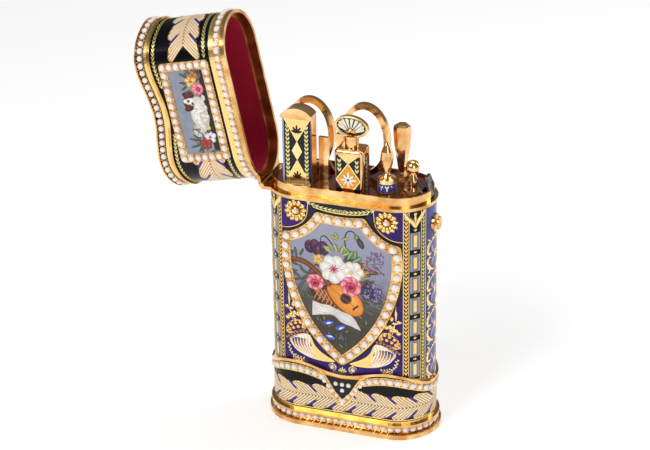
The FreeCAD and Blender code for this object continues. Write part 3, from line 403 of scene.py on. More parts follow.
def row_tree(name, spaced):
    """Geometry Nodes: one unit at each place along every path, turned to follow it."""
    tree = bpy.data.node_groups.new(name, "GeometryNodeTree")
    for label, kind, value in (
            ("Path", "NodeSocketGeometry", None), ("Unit", "NodeSocketObject", None),
            ("Pitch", "NodeSocketFloat", 1.0), ("Size", "NodeSocketFloat", 1.0),
            ("Size Spread", "NodeSocketFloat", 0.0), ("Turn", "NodeSocketFloat", 0.0),
            ("Random Turn", "NodeSocketFloat", 0.0), ("Seed", "NodeSocketInt", 1),
            ("Material", "NodeSocketMaterial", None)):
        socket = tree.interface.new_socket(label, in_out="INPUT", socket_type=kind)
        if value is not None:
            socket.default_value = value
    tree.interface.new_socket("Row", in_out="OUTPUT", socket_type="NodeSocketGeometry")
    given = tree.nodes.new("NodeGroupInput").outputs
    result = tree.nodes.new("NodeGroupOutput")
    points, along = given["Path"], {}
    if spaced:
        line = node_in(tree, "GeometryNodeMeshToCurve", {"Mesh": given["Path"]})
        places = node_in(tree, "GeometryNodeCurveToPoints", {
            "Curve": line.outputs["Curve"], "Length": given["Pitch"]}, mode="LENGTH").outputs
        follow = node_in(tree, "FunctionNodeAlignRotationToVector", {
            "Vector": places["Tangent"]}, axis="X", pivot_axis="Z")
        points, along = places["Points"], {"Rotation": follow.outputs["Rotation"]}
    chance = node_in(tree, "FunctionNodeRandomValue", {2: -1.0, "Seed": given["Seed"]},
                     data_type="FLOAT").outputs[1]
    angle = node_in(tree, "ShaderNodeMath", {
        0: chance, 1: given["Random Turn"], 2: given["Turn"]}, operation="MULTIPLY_ADD")
    euler = node_in(tree, "ShaderNodeCombineXYZ", {"Z": angle.outputs[0]})
    spin = node_in(tree, "FunctionNodeRotateRotation", {
        **along, "Rotate By": euler.outputs["Vector"]}, rotation_space="LOCAL")
    scale = node_in(tree, "ShaderNodeMath", {
        0: chance, 1: given["Size Spread"], 2: given["Size"]}, operation="MULTIPLY_ADD")
    unit = node_in(tree, "GeometryNodeObjectInfo", {"Object": given["Unit"]})
    put = node_in(tree, "GeometryNodeInstanceOnPoints", {
        "Points": points, "Instance": unit.outputs["Geometry"],
        "Rotation": spin.outputs["Rotation"], "Scale": scale.outputs[0]})
    real = node_in(tree, "GeometryNodeRealizeInstances", {"Geometry": put.outputs["Instances"]})
    coated = node_in(tree, "GeometryNodeSetMaterial", {
        "Geometry": real.outputs["Geometry"], "Material": given["Material"]})
    plug(tree, result, {"Row": coated.outputs["Geometry"]})
    return tree


set_one_by_one = row_tree("set_one_by_one", spaced=False)
set_by_pitch = row_tree("set_by_pitch", spaced=True)


def lay_row(name, paths, unit, material, **inputs):
    """Plain mesh of units along flat paths of (x, y) places in mm.

    With a Pitch they are spaced along each path and follow it, without one they stand
    on its places.
    """
    tree = set_by_pitch if "Pitch" in inputs else set_one_by_one
    verts, edges = [], []
    for path in paths:
        first = len(verts)
        verts += [(*p, 0.0) for p in path]
        edges += [(i, i + 1) for i in range(first, len(verts) - 1)]
    mesh = bpy.data.meshes.new(name + "_path")
    mesh.from_pydata(verts, edges, [])
    line = in_scene(name + "_path", mesh)
    modifier = line.modifiers.new("row", "NODES")
    modifier.node_group = tree
    sockets = {item.name: item.identifier for item in tree.interface.items_tree
               if item.in_out == "INPUT"}
    modifier[sockets["Unit"]] = unit
    modifier[sockets["Material"]] = material
    for label, value in inputs.items():
        modifier[sockets[label.replace("_", " ")]] = value
    bpy.context.view_layer.update()
    shown = line.evaluated_get(bpy.context.evaluated_depsgraph_get())
    result = bpy.data.meshes.new_from_object(shown)
    result.name = name
    result.materials.clear()
    result.materials.append(material)
    line.modifiers.remove(modifier)
    bpy.data.objects.remove(line)
    return result


def join_meshes(meshes, name):
    """One mesh from several that carry the same material."""
    verts, faces, smooth, colours = [], [], [], []
    for mesh in meshes:
        first = len(verts)
        verts += [vert.co.copy() for vert in mesh.vertices]
        faces += [[first + i for i in face.vertices] for face in mesh.polygons]
        smooth += [face.use_smooth for face in mesh.polygons]
        colours += [tuple(spot.color) for spot in mesh.attributes["paint"].data]
    joined = bpy.data.meshes.new(name)
    joined.from_pydata(verts, [], faces)
    joined.polygons.foreach_set("use_smooth", smooth)
    paint = joined.attributes.new("paint", "FLOAT_COLOR", "POINT")
    paint.data.foreach_set("color", [value for colour in colours for value in colour])
    joined.materials.append(meshes[0].materials[0])
    return joined


def fit_on(name, flat_mesh, surface, base, body, stands_for=()):
    """Bends a flat mesh onto a surface and fixes the finished piece to a body."""
    for vert in flat_mesh.vertices:
        vert.co = surface(vert.co.x, vert.co.y, vert.co.z + base)
    piece = in_scene(name, flat_mesh)
    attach(piece, body)
    if stands_for:
        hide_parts(*stands_for)
    return piece


def all_round(count, height_at, skip=0.0):
    """Places of a pearl row that goes right round the case, less those near a middle."""
    paths = []
    for i in range(count):
        s = 4 * QUARTER * i / count
        s = s if s <= 2 * QUARTER else s - 4 * QUARTER
        if min(abs(s), 2 * QUARTER - abs(s)) >= skip:
            paths.append((s, height_at(s)))
    return paths


def grains_between(places, drop, near=3.2):
    """Grain places above and below the middle of each gap of a row."""
    spots = []
    for a, b in zip(places, places[1:]):
        if math.dist(a, b) < near:
            x, y = (a[0] + b[0]) / 2, (a[1] + b[1]) / 2
            dx, dy = (b[0] - a[0]) / math.dist(a, b), (b[1] - a[1]) / math.dist(a, b)
            spots.append((x - dy * drop, y + dx * drop))
            spots.append((x + dy * drop, y - dx * drop))
    return spots


def pearl_material():
    """Nacre. The paint attribute darkens it towards its seat as painted shade and a painted warm
    reflection of the gold, and a soft coat shines.
    """
    material, tree, shader = new_material("pearl", Roughness=0.28, Coat_Weight=0.8,
                                          Coat_Roughness=0.08, Subsurface_Weight=0.1,
                                          Subsurface_Scale=0.0005)
    glaze = node_in(tree, "ShaderNodeGroup", {
        "Light": srgb(255, 250, 242), "Deep": srgb(226, 210, 200), "Cloud Scale": 900},
        node_tree=fired_glaze)
    stored = node_in(tree, "ShaderNodeAttribute", attribute_name="paint")
    mix = node_in(tree, "ShaderNodeMix", {
        "Factor": 1.0, "A": glaze.outputs["Colour"], "B": stored.outputs["Color"]},
        data_type="RGBA", blend_type="MULTIPLY")
    plug(tree, shader, {"Base Color": mix.outputs["Result"], "Normal": glaze.outputs["Normal"]})
    return material


pearl = pearl_material()
NACRE = (1.0, 0.98, 0.96, 1.0)
# The foot colour of each pearl is painted shade and a painted warm reflection of the gold round
# its seat.
PAINTED_SEAT_SHADE = (0.46, 0.31, 0.22, 1.0)
row_pearl = dome_unit("row_pearl", 1.0, 0.96, 12, 3, PAINTED_SEAT_SHADE, NACRE)
gold_grain = dome_unit("gold_grain", 1.0, 1.0, 7, 2)


def pearl_piece(name, places, radius, drop, surface, base, body, stands_for, near=3.2):
    """A set of half pearls, and the gold grains that hold them as a second piece."""
    flat = lay_row(name, [places], row_pearl, pearl, Size=radius, Size_Spread=0.05 * radius,
                   Random_Turn=3.1, Seed=7)
    fit_on(name, flat, surface, base, body, stands_for=stands_for)
    grains = grains_between(places, drop, near)
    flat = lay_row(name + "_grains", [grains], gold_grain, gold, Size=0.36, Size_Spread=0.05,
                   Random_Turn=3.1, Seed=3)
    fit_on(name + "_grains", flat, surface, base, body)


foot_places = all_round(58, lambda s: 2.8)
pearl_piece("foot_row_pearls", foot_places + foot_places[:1], 1.02, 0.82, round_case, 0.31,
            "case", ("foot_pearls",))

# ---- plinth pearls and the pendants below them ---------------------------------------
# The plinth's pearls follow its wavy gold moulding and drop into a pointed pendant of
# smaller pearls on the front and on the back.
SMALL_PEARL = 0.8


def plinth_row(s):
    return plinth_edge(s) - 2.0


row_places = all_round(58, plinth_row, skip=6.6)
pearl_piece("plinth_row_pearls", row_places, 1.02, 0.85, round_case, 0.41, "case",
            ("plinth_pearls",), near=2.6)
pendant_places = []
top_y = plinth_row(7.2)
for face in FACES:
    for step in range(1, 6):
        t = step / 5.4
        for sign in (-1, 1):
            pendant_places.append((face + sign * 7.2 * (1 - t), top_y + (9.9 - top_y) * t))
    pendant_places.append((face, 9.3))
    for x, y in ((-2.1, top_y - 1.9), (0, top_y - 1.9), (2.1, top_y - 1.9), (0, top_y - 4.0)):
        pendant_places.append((face + x, y))
flat = lay_row("pendant_pearls", [pendant_places], row_pearl, pearl, Size=SMALL_PEARL,
               Size_Spread=0.03, Random_Turn=3.1, Seed=9)
fit_on("pendant_pearls", flat, round_case, 0.41, "case")

# ---- shield pearls -------------------------------------------------------------------
# Forty larger half pearls in the gold frame of each painted shield, and one in the eye
# of each rosette.
def arc_points(a, b, c, count=24):
    """Points on the circle arc from a through b to c, without the last."""
    ax, ay = a
    bx, by = b
    cx, cy = c
    d = 2 * (ax * (by - cy) + bx * (cy - ay) + cx * (ay - by))
    ux = ((ax ** 2 + ay ** 2) * (by - cy) + (bx ** 2 + by ** 2) * (cy - ay)
          + (cx ** 2 + cy ** 2) * (ay - by)) / d
    uy = ((ax ** 2 + ay ** 2) * (cx - bx) + (bx ** 2 + by ** 2) * (ax - cx)
          + (cx ** 2 + cy ** 2) * (bx - ax)) / d
    radius = math.dist(a, (ux, uy))
    start, mid, end = (math.atan2(y - uy, x - ux) for x, y in (a, b, c))
    full = 2 * math.pi
    if (mid - start) % full > (end - start) % full:
        sweep = (end - start) % full - full
    else:
        sweep = (end - start) % full
    return [(ux + radius * math.cos(start + sweep * i / count),
             uy + radius * math.sin(start + sweep * i / count)) for i in range(count)]


def shield_line():
    """Centre line of the shield's pearls, clockwise from the top left corner."""
    right = (arc_points((7.0, 72.3), (10.9, 67.7), (17.4, 64.6))
             + arc_points((17.4, 64.6), (17.7, 57.6), (16.2, 48.6))
             + arc_points((16.2, 48.6), (10.6, 35.9), (0, 24.6)) + [(0, 24.6)])
    left = [(-x, y) for x, y in reversed(right[:-1])]
    return arc_points((-7.0, 72.3), (0, 71.8), (7.0, 72.3)) + right + left


def spaced_places(line, count):
    """Evenly spaced places along a closed line."""
    closed = line + line[:1]
    lengths = [0.0]
    for a, b in zip(closed, closed[1:]):
        lengths.append(lengths[-1] + math.dist(a, b))
    places = []
    for i in range(count):
        want = lengths[-1] * i / count
        k = max(j for j, v in enumerate(lengths) if v <= want + 1e-9)
        k = min(k, len(closed) - 2)
        t = (want - lengths[k]) / max(lengths[k + 1] - lengths[k], 1e-9)
        places.append(tuple(closed[k][j] + (closed[k + 1][j] - closed[k][j]) * t for j in (0, 1)))
    return places


def run_at(x):
    """Distance round the wall to the point straight behind x on the flat."""
    if abs(x) <= END_CENTRE:
        return x
    return math.copysign(END_CENTRE + CASE_RADIUS
                         * math.asin((abs(x) - END_CENTRE) / CASE_RADIUS), x)


SHIELD = [(run_at(x), y) for x, y in shield_line()]
shield_places = [(run_at(x), y) for x, y in spaced_places(shield_line(), 40)]
ROSETTE_X, ROSETTE_Y = 14.4, 73.3
flat_pearls, flat_grains = [], []
for face in FACES:
    ring = [(x + face, y) for x, y in shield_places]
    flat_pearls.append(lay_row("shield", [ring], row_pearl, pearl, Size=1.25,
                               Size_Spread=0.05, Random_Turn=3.1, Seed=5))
    spots = grains_between(ring + ring[:1], 1.02, near=4.5)
    flat_grains.append(lay_row("grains", [spots], gold_grain, gold, Size=0.42,
                               Size_Spread=0.05, Random_Turn=3.1, Seed=4))
    eyes = [(face - ROSETTE_X, ROSETTE_Y), (face + ROSETTE_X, ROSETTE_Y)]
    flat_pearls.append(lay_row("eyes", [eyes], row_pearl, pearl, Size=0.85, Seed=2,
                               Random_Turn=3.1))
fit_on("shield_row_pearls", join_meshes(flat_pearls, "shield_row_pearls"), round_case, 0.46,
       "case", stands_for=("shield_pearls",))
fit_on("shield_row_grains", join_meshes(flat_grains, "shield_row_grains"), round_case, 0.46,
       "case")

# ---- lid pearls ----------------------------------------------------------------------
# One row just above the lip and one under the wavy top edge of the lid, and one round
# the plaque on each face.
lid_top_places = all_round(58, lid_edge)
lid_low_places = all_round(58, lambda s: 2.65)
pearl_piece("lid_rows", lid_top_places + lid_low_places, 1.02, 0.85, round_lid, 0.01, "lid",
            ("lid_row_pearls",), near=2.6)
plaque_places = []
for face in FACES:
    step_x, step_y = 29.2 / 12, 14.0 / 6
    ring = [(-14.6 + step_x * i, 21.2) for i in range(13)]
    ring += [(14.6, 21.2 - step_y * i) for i in range(1, 7)]
    ring += [(14.6 - step_x * i, 7.2) for i in range(1, 13)]
    ring += [(-14.6, 7.2 + step_y * i) for i in range(1, 6)]
    plaque_places += [(face + run_at(x), y) for x, y in ring]
pearl_piece("lid_plaque_row", plaque_places, 1.05, 0.95, round_lid, 0.46, "lid",
            ("lid_plaque_pearls",), near=2.9)

# ---- rosettes ------------------------------------------------------------------------
# Twelve lobed gold petals round each pearl, cut from thin sheet and raised along their
# middles, on a gold disc at each of the four upper corners.
GOLD_PAINT = (*srgb(255, 214, 134)[:3], 1.0)
PALE_GOLD = (*srgb(255, 228, 160)[:3], 1.0)
DEEP_GOLD = (*srgb(222, 152, 62)[:3], 1.0)


def tint(red, green, blue):
    """Painted, not metal: the fourth value is how metallic the spot is."""
    return (*srgb(red, green, blue)[:3], 0.0)


def paint_material():
    """Vitreous paint and gold leaf in one: the paint attribute carries both."""
    material, tree, shader = new_material("painted_inlay", Coat_Weight=0.12,
                                          Coat_Roughness=0.06, Specular_IOR_Level=0.28)
    stored = node_in(tree, "ShaderNodeAttribute", attribute_name="paint")
    grain = noise(tree, object_place(tree), 2600, 4)
    tone = node_in(tree, "ShaderNodeMapRange", {
        "Value": grain, "From Min": 0.3, "From Max": 0.7, "To Min": 0.72, "To Max": 1.12})
    shade = node_in(tree, "ShaderNodeVectorMath", {
        0: stored.outputs["Color"], "Scale": tone.outputs["Result"]}, operation="SCALE")
    dull = node_in(tree, "ShaderNodeMapRange", {
        "Value": stored.outputs["Alpha"], "To Min": 0.42, "To Max": 0.24})
    plug(tree, shader, {
        "Base Color": shade.outputs["Vector"], "Metallic": stored.outputs["Alpha"],
        "Roughness": dull.outputs["Result"], "Normal": bump(tree, grain, 0.3, 0.00005)})
    return material


painted = paint_material()


def through(points, closed=False, steps=4):
    """Smooth line through a few points."""
    line = []
    count = len(points)
    spans = count if closed else count - 1
    for i in range(spans):
        if closed:
            p = [points[(i + k) % count] for k in (-1, 0, 1, 2)]
        else:
            p = [points[max(0, min(count - 1, i + k))] for k in (-1, 0, 1, 2)]
        for j in range(steps):
            t = j / steps
            line.append(tuple(0.5 * (2 * b + (c - a) * t + (2 * a - 5 * b + 4 * c - d) * t * t
                                     + (3 * b - a - 3 * c + d) * t ** 3)
                              for a, b, c, d in zip(*p)))
    if not closed:
        line.append(tuple(points[-1]))
    return line


def add_shape(bm, outline, top, colour, core=None, rise=0.0, core_at=None, sunk=-0.03):
    """Closed flat cut-out. With a core colour it is shaded, and may be domed, to its middle."""
    paint = bm.verts.layers.float_color["paint"]
    area = sum(a[0] * b[1] - b[0] * a[1] for a, b in zip(outline, outline[1:] + outline[:1]))
    if area < 0:
        outline = outline[::-1]
    upper = [bm.verts.new((p[0], p[1], top)) for p in outline]
    lower = [bm.verts.new((p[0], p[1], sunk)) for p in outline]
    for vert in upper + lower:
        vert[paint] = colour
    count = len(outline)
    for i in range(count):
        after = (i + 1) % count
        bm.faces.new((upper[i], lower[i], lower[after], upper[after]))
    if core is not None:
        x, y = core_at or (sum(p[0] for p in outline) / count, sum(p[1] for p in outline) / count)
        tops = bm.verts.new((x, y, top + rise))
        base = bm.verts.new((x, y, sunk))
        tops[paint] = base[paint] = core
        for i in range(count):
            after = (i + 1) % count
            face = bm.faces.new((upper[i], upper[after], tops))
            face.smooth = rise > 0
            bm.faces.new((lower[after], lower[i], base))
        return
    for trio in tessellate_polygon([[Vector((p[0], p[1], 0)) for p in outline]]):
        a, b, c = (outline[i] for i in trio)
        if (b[0] - a[0]) * (c[1] - a[1]) - (c[0] - a[0]) * (b[1] - a[1]) < 0:
            trio = trio[::-1]
        bm.faces.new([upper[i] for i in trio])
        bm.faces.new([lower[i] for i in reversed(trio)])


def add_stroke(bm, line, half, top, colour, crown=0.0, crown_colour=None, taper=True,
               sunk=-0.03):
    """Closed strip along a line, pointed at its ends if it tapers, ridged if it has a crown."""
    paint = bm.verts.layers.float_color["paint"]
    last = len(line) - 1
    sections = []
    for i, p in enumerate(line):
        a, b = line[max(0, i - 1)], line[min(last, i + 1)]
        length = max(math.dist(a[:2], b[:2]), 1e-9)
        nx, ny = -(b[1] - a[1]) / length, (b[0] - a[0]) / length
        t = i / last
        wide = half * (0.12 + 0.88 * math.sin(math.pi * t) ** 0.7) if taper else half
        ring = [(p[0] + nx * wide, p[1] + ny * wide, sunk),
                (p[0] + nx * wide, p[1] + ny * wide, top),
                (p[0], p[1], top + crown),
                (p[0] - nx * wide, p[1] - ny * wide, top),
                (p[0] - nx * wide, p[1] - ny * wide, sunk)]
        verts = [bm.verts.new(q) for q in ring]
        for k, vert in enumerate(verts):
            vert[paint] = crown_colour if crown_colour and k == 2 else colour
        sections.append(verts)
    for a, b in zip(sections, sections[1:]):
        for k in range(5):
            after = (k + 1) % 5
            face = bm.faces.new((a[k], a[after], b[after], b[k]))
            face.smooth = k in (1, 2) and crown > 0
    bm.faces.new(list(reversed(sections[0])))
    bm.faces.new(sections[-1])


def leaf_line(x, y, angle, length, bend=0.0):
    """Centre line of a leaf from its foot, angle in degrees from straight up."""
    a = math.radians(angle)
    ux, uy = -math.sin(a), math.cos(a)
    return through([(x, y), (x + ux * length * 0.5 - uy * bend, y + uy * length * 0.5 + ux * bend),
                    (x + ux * length, y + uy * length)])


def round_spot(x, y, across, up=None, lobes=0, wobble=0.0, turn=0.0, count=14):
    """Round or lobed outline."""
    up = up or across
    points = []
    for i in range(count):
        a = 2 * math.pi * i / count
        r = 1 + wobble * math.cos(lobes * a)
        dx, dy = across * r * math.cos(a), up * r * math.sin(a)
        c, s = math.cos(math.radians(turn)), math.sin(math.radians(turn))
        points.append((x + dx * c - dy * s, y + dx * s + dy * c))
    return points


def sheet_mesh(bm, name):
    bmesh.ops.recalc_face_normals(bm, faces=bm.faces)
    mesh = bpy.data.meshes.new(name)
    bm.to_mesh(mesh)
    bm.free()
    mesh.materials.append(painted)
    return mesh


def fit_sheet(bm, name, surface, base, body):
    fit_on(name, sheet_mesh(bm, name), surface, base, body)


def both_faces(mesh, name):
    """The same flat work for the front and for the back."""
    back = mesh.copy()
    for vert in back.vertices:
        vert.co.x += 2 * QUARTER
    return join_meshes([mesh, back], name)


bm = flat_sheet()
for sign in (-1, 1):
    centre = sign * ROSETTE_X
    add_shape(bm, round_spot(centre, ROSETTE_Y, 3.15, count=24), 0.2, DEEP_GOLD)
    for i in range(12):
        lobe = []
        for degrees, radius in ((-12, 1.35), (-14, 2.9), (-11, 3.35), (-6, 3.45), (-3, 3.7),
                                (3, 3.7), (6, 3.45), (11, 3.35), (14, 2.9), (12, 1.35)):
            a = math.radians(30 * i + 8 + degrees)
            lobe.append((centre + radius * math.cos(a), ROSETTE_Y + radius * math.sin(a)))
        a = math.radians(30 * i + 8)
        add_shape(bm, lobe, 0.27, GOLD_PAINT, core=PALE_GOLD, rise=0.2,
                  core_at=(centre + 2.6 * math.cos(a), ROSETTE_Y + 2.6 * math.sin(a)))
    add_shape(bm, round_spot(centre, ROSETTE_Y, 1.35), 0.42, DEEP_GOLD, core=GOLD_PAINT, rise=0.1)
flat = both_faces(sheet_mesh(bm, "rosette_petals"), "rosette_petals")
fit_on("rosette_petals", flat, round_case, 0.0, "case", stands_for=("rosettes",))

# ---- leaf borders and corner pilasters -----------------------------------------------
# Each rounded corner has a pilaster of grey-blue tablets with gold centres, between two
# borders of gold laurel on black. The laurel is cut gold leaf laid under the last glaze.
PANEL_TOP = 77.0


def laurel_unit(name, colour, vein, wide, length):
    """One pair of laurel leaves pointing along +X."""
    bm = flat_sheet()
    for sign in (-1, 1):
        leaf = [(0.0, 0.04 * sign), (length * 0.45, sign * wide * 0.55), (length, sign * wide),
                (length * 0.85, sign * wide * 0.45), (length * 0.45, sign * 0.05)]
        add_shape(bm, leaf, 0.07, colour)
    add_shape(bm, [(0, -0.05), (length, -0.05), (length, 0.05), (0, 0.05)], 0.05, vein)
    bmesh.ops.recalc_face_normals(bm, faces=bm.faces)
    return sheet_to_object(bm, name)


LAUREL_GREEN_GOLD = (*srgb(236, 226, 150)[:3], 0.65)
laurel = laurel_unit("laurel", GOLD_PAINT, DEEP_GOLD, 0.7, 1.35)
pale_laurel = laurel_unit("pale_laurel", LAUREL_GREEN_GOLD, PALE_GOLD, 0.58, 1.2)


def corner_runs(run):
    """The same distance from the middle of each face, at all four corners."""
    return [run, -run, 2 * QUARTER - run, 2 * QUARTER + run]


runs_inner = [[(s, plinth_edge(s) + 1.0), (s, PANEL_TOP - 0.4)] for s in corner_runs(20.4)]
runs_outer = [[(s, plinth_edge(s) + 1.0), (s, PANEL_TOP - 3.6)] for s in corner_runs(26.2)]
borders = [lay_row("laurel_inner", runs_inner, laurel, painted, Pitch=1.3),
           lay_row("laurel_outer", runs_outer, pale_laurel, painted, Pitch=1.2)]
bm = flat_sheet()
for s in corner_runs(20.4) + corner_runs(26.2):
    for shift in (-0.86, 0.86):
        x = s + shift
        line = [(x, plinth_edge(x) + 0.9 + (PANEL_TOP - plinth_edge(x) - 0.9) * k / 6)
                for k in range(7)]
        add_stroke(bm, line, 0.11, 0.06, GOLD_PAINT, taper=False)
TABLET_PITCH = 7.26
TABLET_BLUE = tint(132, 134, 146)
TABLET_EDGE = tint(196, 196, 204)
for s in corner_runs(23.3):
    for k in range(8):
        low = 63.45 + 0.85 - TABLET_PITCH * k
        high = low + TABLET_PITCH - 1.7
        low = max(low, plinth_edge(s) + 1.1)
        if high - low < 1.0:
            continue
        high = min(high, 70.0)
        for x in (-1, 0, 1):
            add_shape(bm, [(s + x - 0.5, low), (s + x + 0.5, low), (s + x + 0.5, high),
                           (s + x - 0.5, high)], 0.04, TABLET_BLUE)
        for x in (-1.42, 1.42):
            add_stroke(bm, [(s + x, low), (s + x, high)], 0.13, 0.06, TABLET_EDGE, taper=False)
        if high - low > 3:
            add_shape(bm, [(s - 0.52, low + 0.9), (s + 0.52, low + 0.9),
                           (s + 0.52, high - 0.9), (s - 0.52, high - 0.9)], 0.09, GOLD_PAINT)
        add_shape(bm, round_spot(s, high + 0.85, 0.5, 0.42), 0.08, GOLD_PAINT,
                  core=PALE_GOLD, rise=0.12)
    for sign in (-1, 1):
        spray = through([
            (s, 71.4), (s + sign * 0.9, 73.4), (s + sign * 2.6, 75.2), (s + sign * 3.4, 76.9)])
        add_stroke(bm, spray, 0.75, 0.06, GOLD_PAINT, crown=0.12, crown_colour=PALE_GOLD)
    add_stroke(bm, [(s, 72.6), (s, 74.6), (s, 76.6)], 0.4, 0.07, GOLD_PAINT, crown=0.1,
               crown_colour=PALE_GOLD)
    add_shape(bm, round_spot(s, 75.9, 0.55), 0.09, GOLD_PAINT, core=PALE_GOLD, rise=0.12)
borders.append(sheet_mesh(bm, "tablets"))
fit_on("laurel_and_tablets", join_meshes(borders, "laurel_and_tablets"), round_case, 0.0, "case")

# ---- front and back panels -----------------------------------------------------------
# Violet enamel with two horns of plenty, a laurel swag on black under the mouth, and
# small sprigs, all in gold leaf and opaque white.
WHITE_ENAMEL = tint(250, 244, 226)
BLACK_ENAMEL = tint(14, 10, 16)
bm = flat_sheet()
swag = through([(-10.8, 76.75), (-6.0, 75.4), (0, 74.9), (6.0, 75.4), (10.8, 76.75)], steps=6)
sky_top = [(x, PANEL_TOP) for x in (10.8, 5.4, 0.0, -5.4, -10.8)]
lower_line = through([(-10.2, 76.4), (-9.2, 74.4), (-5.0, 74.15), (0, 73.8), (5.0, 74.15),
                      (9.2, 74.4), (10.2, 76.4)], steps=4)
add_shape(bm, lower_line + sky_top, 0.02, BLACK_ENAMEL)
under = [(x, y - 0.75) for x, y in swag[3:-3]]
add_stroke(bm, under, 0.12, 0.06, PALE_GOLD, taper=False)
for sign in (-1, 1):
    arc = through([(sign * 9.9, 77.0), (sign * 10.0, 74.6), (sign * 10.6, 71.2),
                   (sign * 12.9, 68.6), (sign * 16.2, 67.1), (sign * 19.2, 66.6)])
    add_stroke(bm, arc, 0.42, 0.025, BLACK_ENAMEL, taper=False)
    add_stroke(bm, [(x + sign * 0.5, y + 0.35) for x, y in arc], 0.10, 0.05, GOLD_PAINT,
               taper=False)
grown = []
for i, (x, y) in enumerate(SHIELD):
    a, b = SHIELD[i - 1], SHIELD[(i + 1) % len(SHIELD)]
    length = math.dist(a, b)
    nx, ny = -(b[1] - a[1]) / length, (b[0] - a[0]) / length
    grown.append((x + nx * 2.0, y + ny * 2.0))
add_stroke(bm, grown + grown[:1], 0.42, 0.02, BLACK_ENAMEL, taper=False)


def horn(bm, sign):
    """Horn of plenty beside the point of the shield."""
    def at(*points):
        return [(sign * x, y) for x, y in points]
    body = through(at((11.2, 31.9), (14.2, 31.4), (17.4, 29.3), (16.4, 27.2), (14.2, 25.2),
                      (11.2, 23.8), (8.0, 23.2), (4.6, 23.1), (2.3, 23.6), (5.0, 25.0),
                      (7.6, 26.7), (9.2, 28.6), (10.0, 30.6)), closed=True, steps=2)
    add_shape(bm, body, 0.05, GOLD_PAINT)
    white = through(at((10.6, 31.5), (13.8, 31.1), (17.0, 29.2), (16.1, 27.3), (14.0, 25.4),
                       (11.2, 24.1), (8.6, 23.7), (9.6, 25.6), (10.6, 28.4)), closed=True, steps=2)
    add_shape(bm, white, 0.065, WHITE_ENAMEL)
    for k in range(6):
        t = k / 5
        rib = through(at((11.2 + 5.2 * t, 31.2 - 1.9 * t), (11.3 + 4.4 * t, 28.6 - 1.4 * t),
                         (10.3 + 3.2 * t, 25.8 - 0.6 * t), (8.6 + 1.0 * t, 24.1 - 0.3 * t)))
        add_stroke(bm, rib, 0.14, 0.085, DEEP_GOLD)
        ridge = [(x + sign * 0.45, y) for x, y in rib]
        add_stroke(bm, ridge, 0.2, 0.08, tint(255, 252, 240), crown=0.05)
    fruit = through(at((11.9, 33.4), (12.5, 35.3), (13.6, 36.3), (15.5, 36.1), (17.4, 34.8),
                       (18.6, 33.0), (18.6, 31.3), (17.2, 30.9), (15.0, 32.2)), closed=True,
                    steps=2)
    add_shape(bm, fruit, 0.06, GOLD_PAINT)
    for x, y in ((12.8, 34.0), (13.7, 35.4), (14.4, 33.8), (15.3, 35.0), (16.0, 33.2),
                 (16.9, 34.2), (17.3, 32.3), (18.0, 33.0), (15.3, 36.0), (18.2, 31.6)):
        add_shape(bm, round_spot(sign * x, y, 0.72, count=10), 0.08, DEEP_GOLD,
                  core=PALE_GOLD, rise=0.16)
    for x, y in ((11.4, 32.6), (12.5, 32.6), (13.6, 32.4), (14.7, 32.0), (15.7, 31.4),
                 (16.6, 30.8), (17.5, 30.1), (18.3, 29.5)):
        add_shape(bm, round_spot(sign * x, y, 0.52, count=10), 0.10,
                  tint(120, 52, 34), core=tint(226, 170, 150), rise=0.2)
    for lobe in (((14.3, 38.2), 1.0, 0.85), ((15.6, 38.4), 1.0, 0.8), ((16.9, 37.4), 1.1, 0.8),
                 ((18.1, 36.4), 0.85, 0.75), ((16.0, 37.2), 0.9, 0.6),
                 ((16.0, 41.3), 0.6, 0.95), ((18.3, 40.2), 0.85, 0.6), ((17.0, 39.8), 1.1, 0.45)):
        (x, y), wide, tall = lobe
        add_shape(bm, round_spot(sign * x, y, wide, tall, count=12), 0.06, GOLD_PAINT,
                  core=PALE_GOLD, rise=0.14)
    add_stroke(bm, at((17.3, 40.0), (17.3, 43.0), (17.35, 45.8)), 0.42, 0.05, GOLD_PAINT,
               crown=0.1, crown_colour=PALE_GOLD)
    add_stroke(bm, through(at((16.2, 36.0), (16.6, 38.0), (17.2, 40.2))), 0.2, 0.05, GOLD_PAINT)
    stem = through(at((12.3, 22.7), (15.0, 23.0), (17.0, 24.6), (17.9, 27.8)), steps=6)
    add_stroke(bm, stem, 0.09, 0.04, PALE_GOLD)
    for k in range(2, len(stem) - 1, 2):
        x, y = stem[k]
        for side in (-1, 1):
            lx, ly = x + sign * 0.35 * side, y + 0.5 * side * (-1 if k < 9 else 0.4)
            add_shape(bm, round_spot(lx, ly, 0.42, 0.27, turn=sign * 50 * side, count=8),
                      0.05, LAUREL_GREEN_GOLD, core=WHITE_ENAMEL, rise=0.05)
    curl = [(sign * (3.4 + 1.25 * math.cos(a)), 21.5 + 1.25 * math.sin(a))
            for a in [2 * math.pi * k / 16 for k in range(13)]]
    add_stroke(bm, curl, 0.24, 0.06, GOLD_PAINT, crown=0.08)
    add_shape(bm, round_spot(sign * 3.4, 21.5, 0.85), 0.08, tint(206, 200, 190),
              core=WHITE_ENAMEL, rise=0.5)


for sign in (-1, 1):
    horn(bm, sign)
for k in range(5):
    angle = -70 + 35 * k
    add_stroke(bm, leaf_line(0, 20.4, angle, 1.5 + 0.3 * (k == 2)), 0.22, 0.05, LAUREL_GREEN_GOLD)
swag_mesh = lay_row("swag", [swag[:len(swag) // 2 + 1], swag[:len(swag) // 2 - 1:-1]],
                    pale_laurel, painted, Pitch=1.25, Size=1.15)
panel = join_meshes([sheet_mesh(bm, "panel_work"), swag_mesh], "panel_work")
fit_on("panel_ornament", both_faces(panel, "panel_ornament"), round_case, 0.0, "case")

